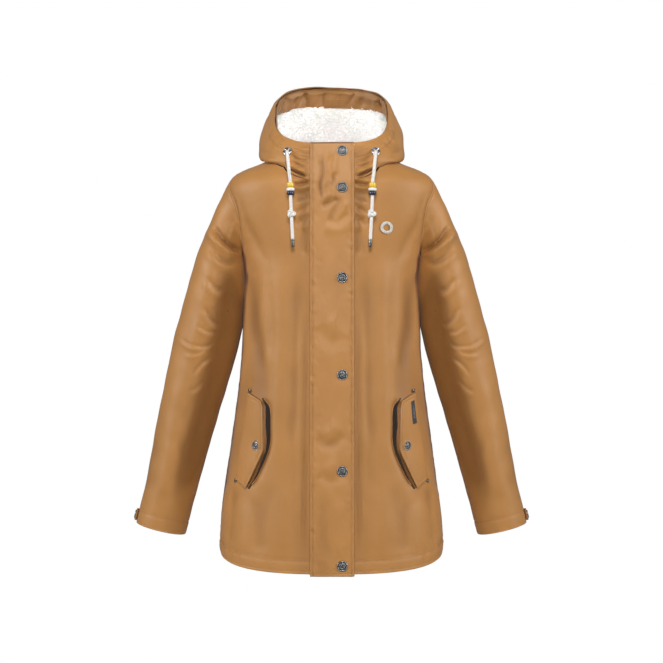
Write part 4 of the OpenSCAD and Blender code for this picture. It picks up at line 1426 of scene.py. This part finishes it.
def make_pocket(name):
    side = SIDES[name]
    body = "pocket_flap_" + name
    carry = with_pocket_flap()
    s = np.linspace(0, 1, 90)[:, None] + np.zeros((1, 30))
    w = np.linspace(0, 1, 30)[None, :] + np.zeros((90, 1))
    stand = .0060 * (1 - w) ** 2 * bell(s - .32, .30) + .0014 * (1 - w)
    base = pocket_point(s, w, .0034 + stand)
    edge = nearest_edge(base, "top", "bottom", "left")
    sewn = lengths_from(base, "right")
    relief = (.0006 * billow(base, .03, 95)
              - .0006 * bell(np.minimum(edge, sewn) - POCKET_STITCH, .0010)
              + .0003 * np.exp(-np.abs(edge - POCKET_STITCH) / .01) * billow(base, .005, 96)
              - .0008 * smooth((.0012 - np.minimum(edge, sewn)) / .0012))
    grid = raised(base, relief)
    obj = cloth("pocket_flap_cloth_" + name, grid, TAN, .0022, relief=relief, side=side)
    lines = [inset_line(grid, at, POCKET_STITCH) for at in ("top", "bottom", "left")]
    lines.append(inset_line(grid, "right", .004))
    thread = stitching("pocket_flap_thread_" + name, lines, carry, side)
    finish(obj, carry, "shell", "pocket_flap_" + name)

    spot, out = spot_at(*POCKET_SNAP, side)
    metal_piece("pocket_cap_turned_" + name, [moved(snap_cap(), facing(spot + .0043 * out, out))],
                with_body(body), ["pocket_cap_" + name])
    metal_piece("pocket_socket_turned_" + name,
                [moved(turned(scaled(SOCKET, 1, .4)), facing(spot + .0008 * out, out))],
                with_body(body), ["pocket_socket_" + name])

    # The pocket's open mouth under the free edge: a bound slit, drawn as a strip of dark lining cloth lying
    # just over the panel's hollow, with no hole cut. Its dark is partly the pocket's own dark lining and
    # partly painted shade of the open mouth.
    line = spline(MOUTH, 70)
    wide = np.interp(np.linspace(0, 1, 70), (0, .14, .30, .55, 1), (.0015, .0048, .0050, .0030, .0012))
    t = np.linspace(-1, 1, 9)[None, :]
    x, z = line[:, :1] + t * wide[:, None], line[:, 2:] + 0 * t
    angle = angle_at(x, z)
    slit = on_body(angle, z)
    slit = slit + (front_folds(slit) + .0010)[..., None] * body_out(angle, z)
    mouth = cloth("pocket_mouth_" + name, slit, LINING, .0008, side=side)
    finish(mouth, with_body("root"), "lining")
    rim = spline([tuple(p) for p in slit[:, 0][::6]], 90)
    binding = tube(mirrored(rim + .0004 * np.array([0, -1, 0]), side), .0009, 10)
    finish(mesh_object("pocket_binding_" + name, *binding, TAN), with_body("root"), "shell")


def make_pocket_bags():
    """The pocket bags, hanging between shell and lining."""
    for name, side in SIDES.items():
        x0 = np.linspace(.062, .150, 30)[None, :]
        z0 = np.linspace(-.442, -.617, 40)[:, None]
        a = angle_at(x0 + 0 * z0, z0 + 0 * x0)
        base = on_body(a, z0 + 0 * x0, .0060)
        relief = .0010 * billow(base, .03, 97)
        grid = raised(base, relief)
        obj = cloth("pocket_bag_cloth_" + name, grid, LINING, .0025, relief=relief, side=side)
        finish(obj, with_body("root"), "lining", "pocket_bag_" + name)


def make_pocket_trims():
    rivets, studs = [], []
    for side in SIDES.values():
        for x, z in RIVETS:
            spot, out = spot_at(x, z, side)
            rivets.append(moved(turned(RIVET), facing(spot + .0004 * out, out)))
        spot, out = spot_at(*POCKET_SNAP, side)
        studs.append(moved(turned(scaled(STUD, 1, .3)), facing(spot - .0002 * out, out)))
    metal_piece("pocket_rivets_turned", rivets, with_body("root"), ["pocket_rivets"])
    metal_piece("pocket_studs", studs, with_body("root"), ["pocket_snap_studs"])
    # A plain woven label: dark, with a lighter ribbed field.
    s = np.linspace(.08, .34, 60)[:, None] + np.zeros((1, 16))
    w = np.linspace(.66, .84, 16)[None, :] + np.zeros((60, 1))
    grid = pocket_point(s, w, .0048 + 0 * s)
    field = smooth(12 * np.minimum(s - .10, .32 - s)) * smooth(40 * np.minimum(w - .69, .81 - w))
    relief = .0003 * field * (1 + np.sin(2 * np.pi * s * 60)) / 2
    grid = raised(grid, relief)
    obj = cloth("pocket_label_woven", grid, [LABEL, LABEL_RIBS], .0007, relief=relief)
    heights = obj.data.attributes["relief"].data
    for face in obj.data.polygons:
        face.material_index = int(heights[face.vertices[0]].value > .00012)
    finish(obj, with_pocket_flap(), "label", "pocket_label")


for name in SIDES:
    make_pocket(name)
make_pocket_bags()
make_pocket_trims()


# ---------- cuff tabs ----------
def at_cuff(points):
    """Local points round the cuff, Z up the sleeve and X away from the body, in the coat's frame."""
    up = -DOWN
    place = PIVOT + TAB_MID * DOWN
    return place + points[..., :1] * AWAY + points[..., 1:2] * np.array([0, 1.0, 0]) + points[..., 2:] * up


def make_cuff_tab(name):
    side = SIDES[name]
    turn = np.radians(np.linspace(-14, 62, 60))[None, :]
    across = np.linspace(1, -1, 22)[:, None]
    nose = np.sqrt(np.clip((turn + math.radians(14.5)) / math.radians(9), .02, 1))
    half = .0105 * (.55 + .45 * nose)
    r = .0498 + .0004 * np.cos(turn * 3)
    local = np.stack([r * np.cos(turn) + 0 * across, r * np.sin(turn) + 0 * across, across * half], -1)
    base = at_cuff(local)
    edge = nearest_edge(base, "top", "bottom", "left")
    relief = (-.0006 * bell(edge - FLAP_STITCH, .0009) + .0002 * billow(base, .008, 98)
              - .0007 * smooth((.0011 - edge) / .0011))
    grid = raised(base, relief)
    obj = cloth("cuff_tab_cloth_" + name, grid, TAN, .0020, relief=relief, side=side)
    lines = [inset_line(grid, edge, FLAP_STITCH) for edge in ("top", "bottom", "left")]
    thread = stitching("cuff_tab_thread_" + name, lines, with_body("cuff_tab_" + name), side)
    finish(obj, with_body("cuff_tab_" + name), "shell", "cuff_tab_" + name)
    out = mirrored(AWAY, side)
    spot = mirrored(at_cuff(np.array([.0499, 0, 0])), side)
    metal_piece("cuff_cap_" + name, [moved(snap_cap(.0075, .0024), facing(spot, out))],
                with_body("cuff_tab_" + name), ["cuff_snap_" + name])
    stud = mirrored(at_cuff(np.array([.0461, 0, 0])), side)
    small = turned(scaled(STUD, .4, .38))
    metal_piece("cuff_stud_turned_" + name, [moved(small, facing(stud, out))],
                with_body("sleeve_" + name), ["cuff_stud_" + name])


for name in SIDES:
    make_cuff_tab(name)


# ---------- chest patch ----------
def make_chest_ring():
    """A small plain ring of satin stitch on the wearer's left chest."""
    parts = []
    x0, z0, r0 = .097, -.128, .0085
    for turn in np.linspace(0, 2 * np.pi, 96, endpoint=False):
        r = np.linspace(r0 - .0024, r0 + .0024, 7)
        x, z = x0 + r * np.cos(turn), z0 + r * np.sin(turn)
        a = angle_at(x, z)
        dome = .0022 + .0007 * np.sin(np.linspace(0, np.pi, 7))
        path = on_body(a, z) + dome[:, None] * body_out(a, z)
        parts.append(tube(path, .00036, 5))
    obj = mesh_object("chest_ring_stitch", *joined(parts), PALE_THREAD)
    finish(obj, with_body("root"), "label")


make_chest_ring()


# ---------- CAD nodes that stay: a better finish ----------
def refinish(node, mat):
    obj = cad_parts[node]
    obj.data.materials.clear()
    obj.data.materials.append(mat)


for node in ("zip_bottom_box", "zip_slider", "zip_pull"):
    refinish(node, GUNMETAL)
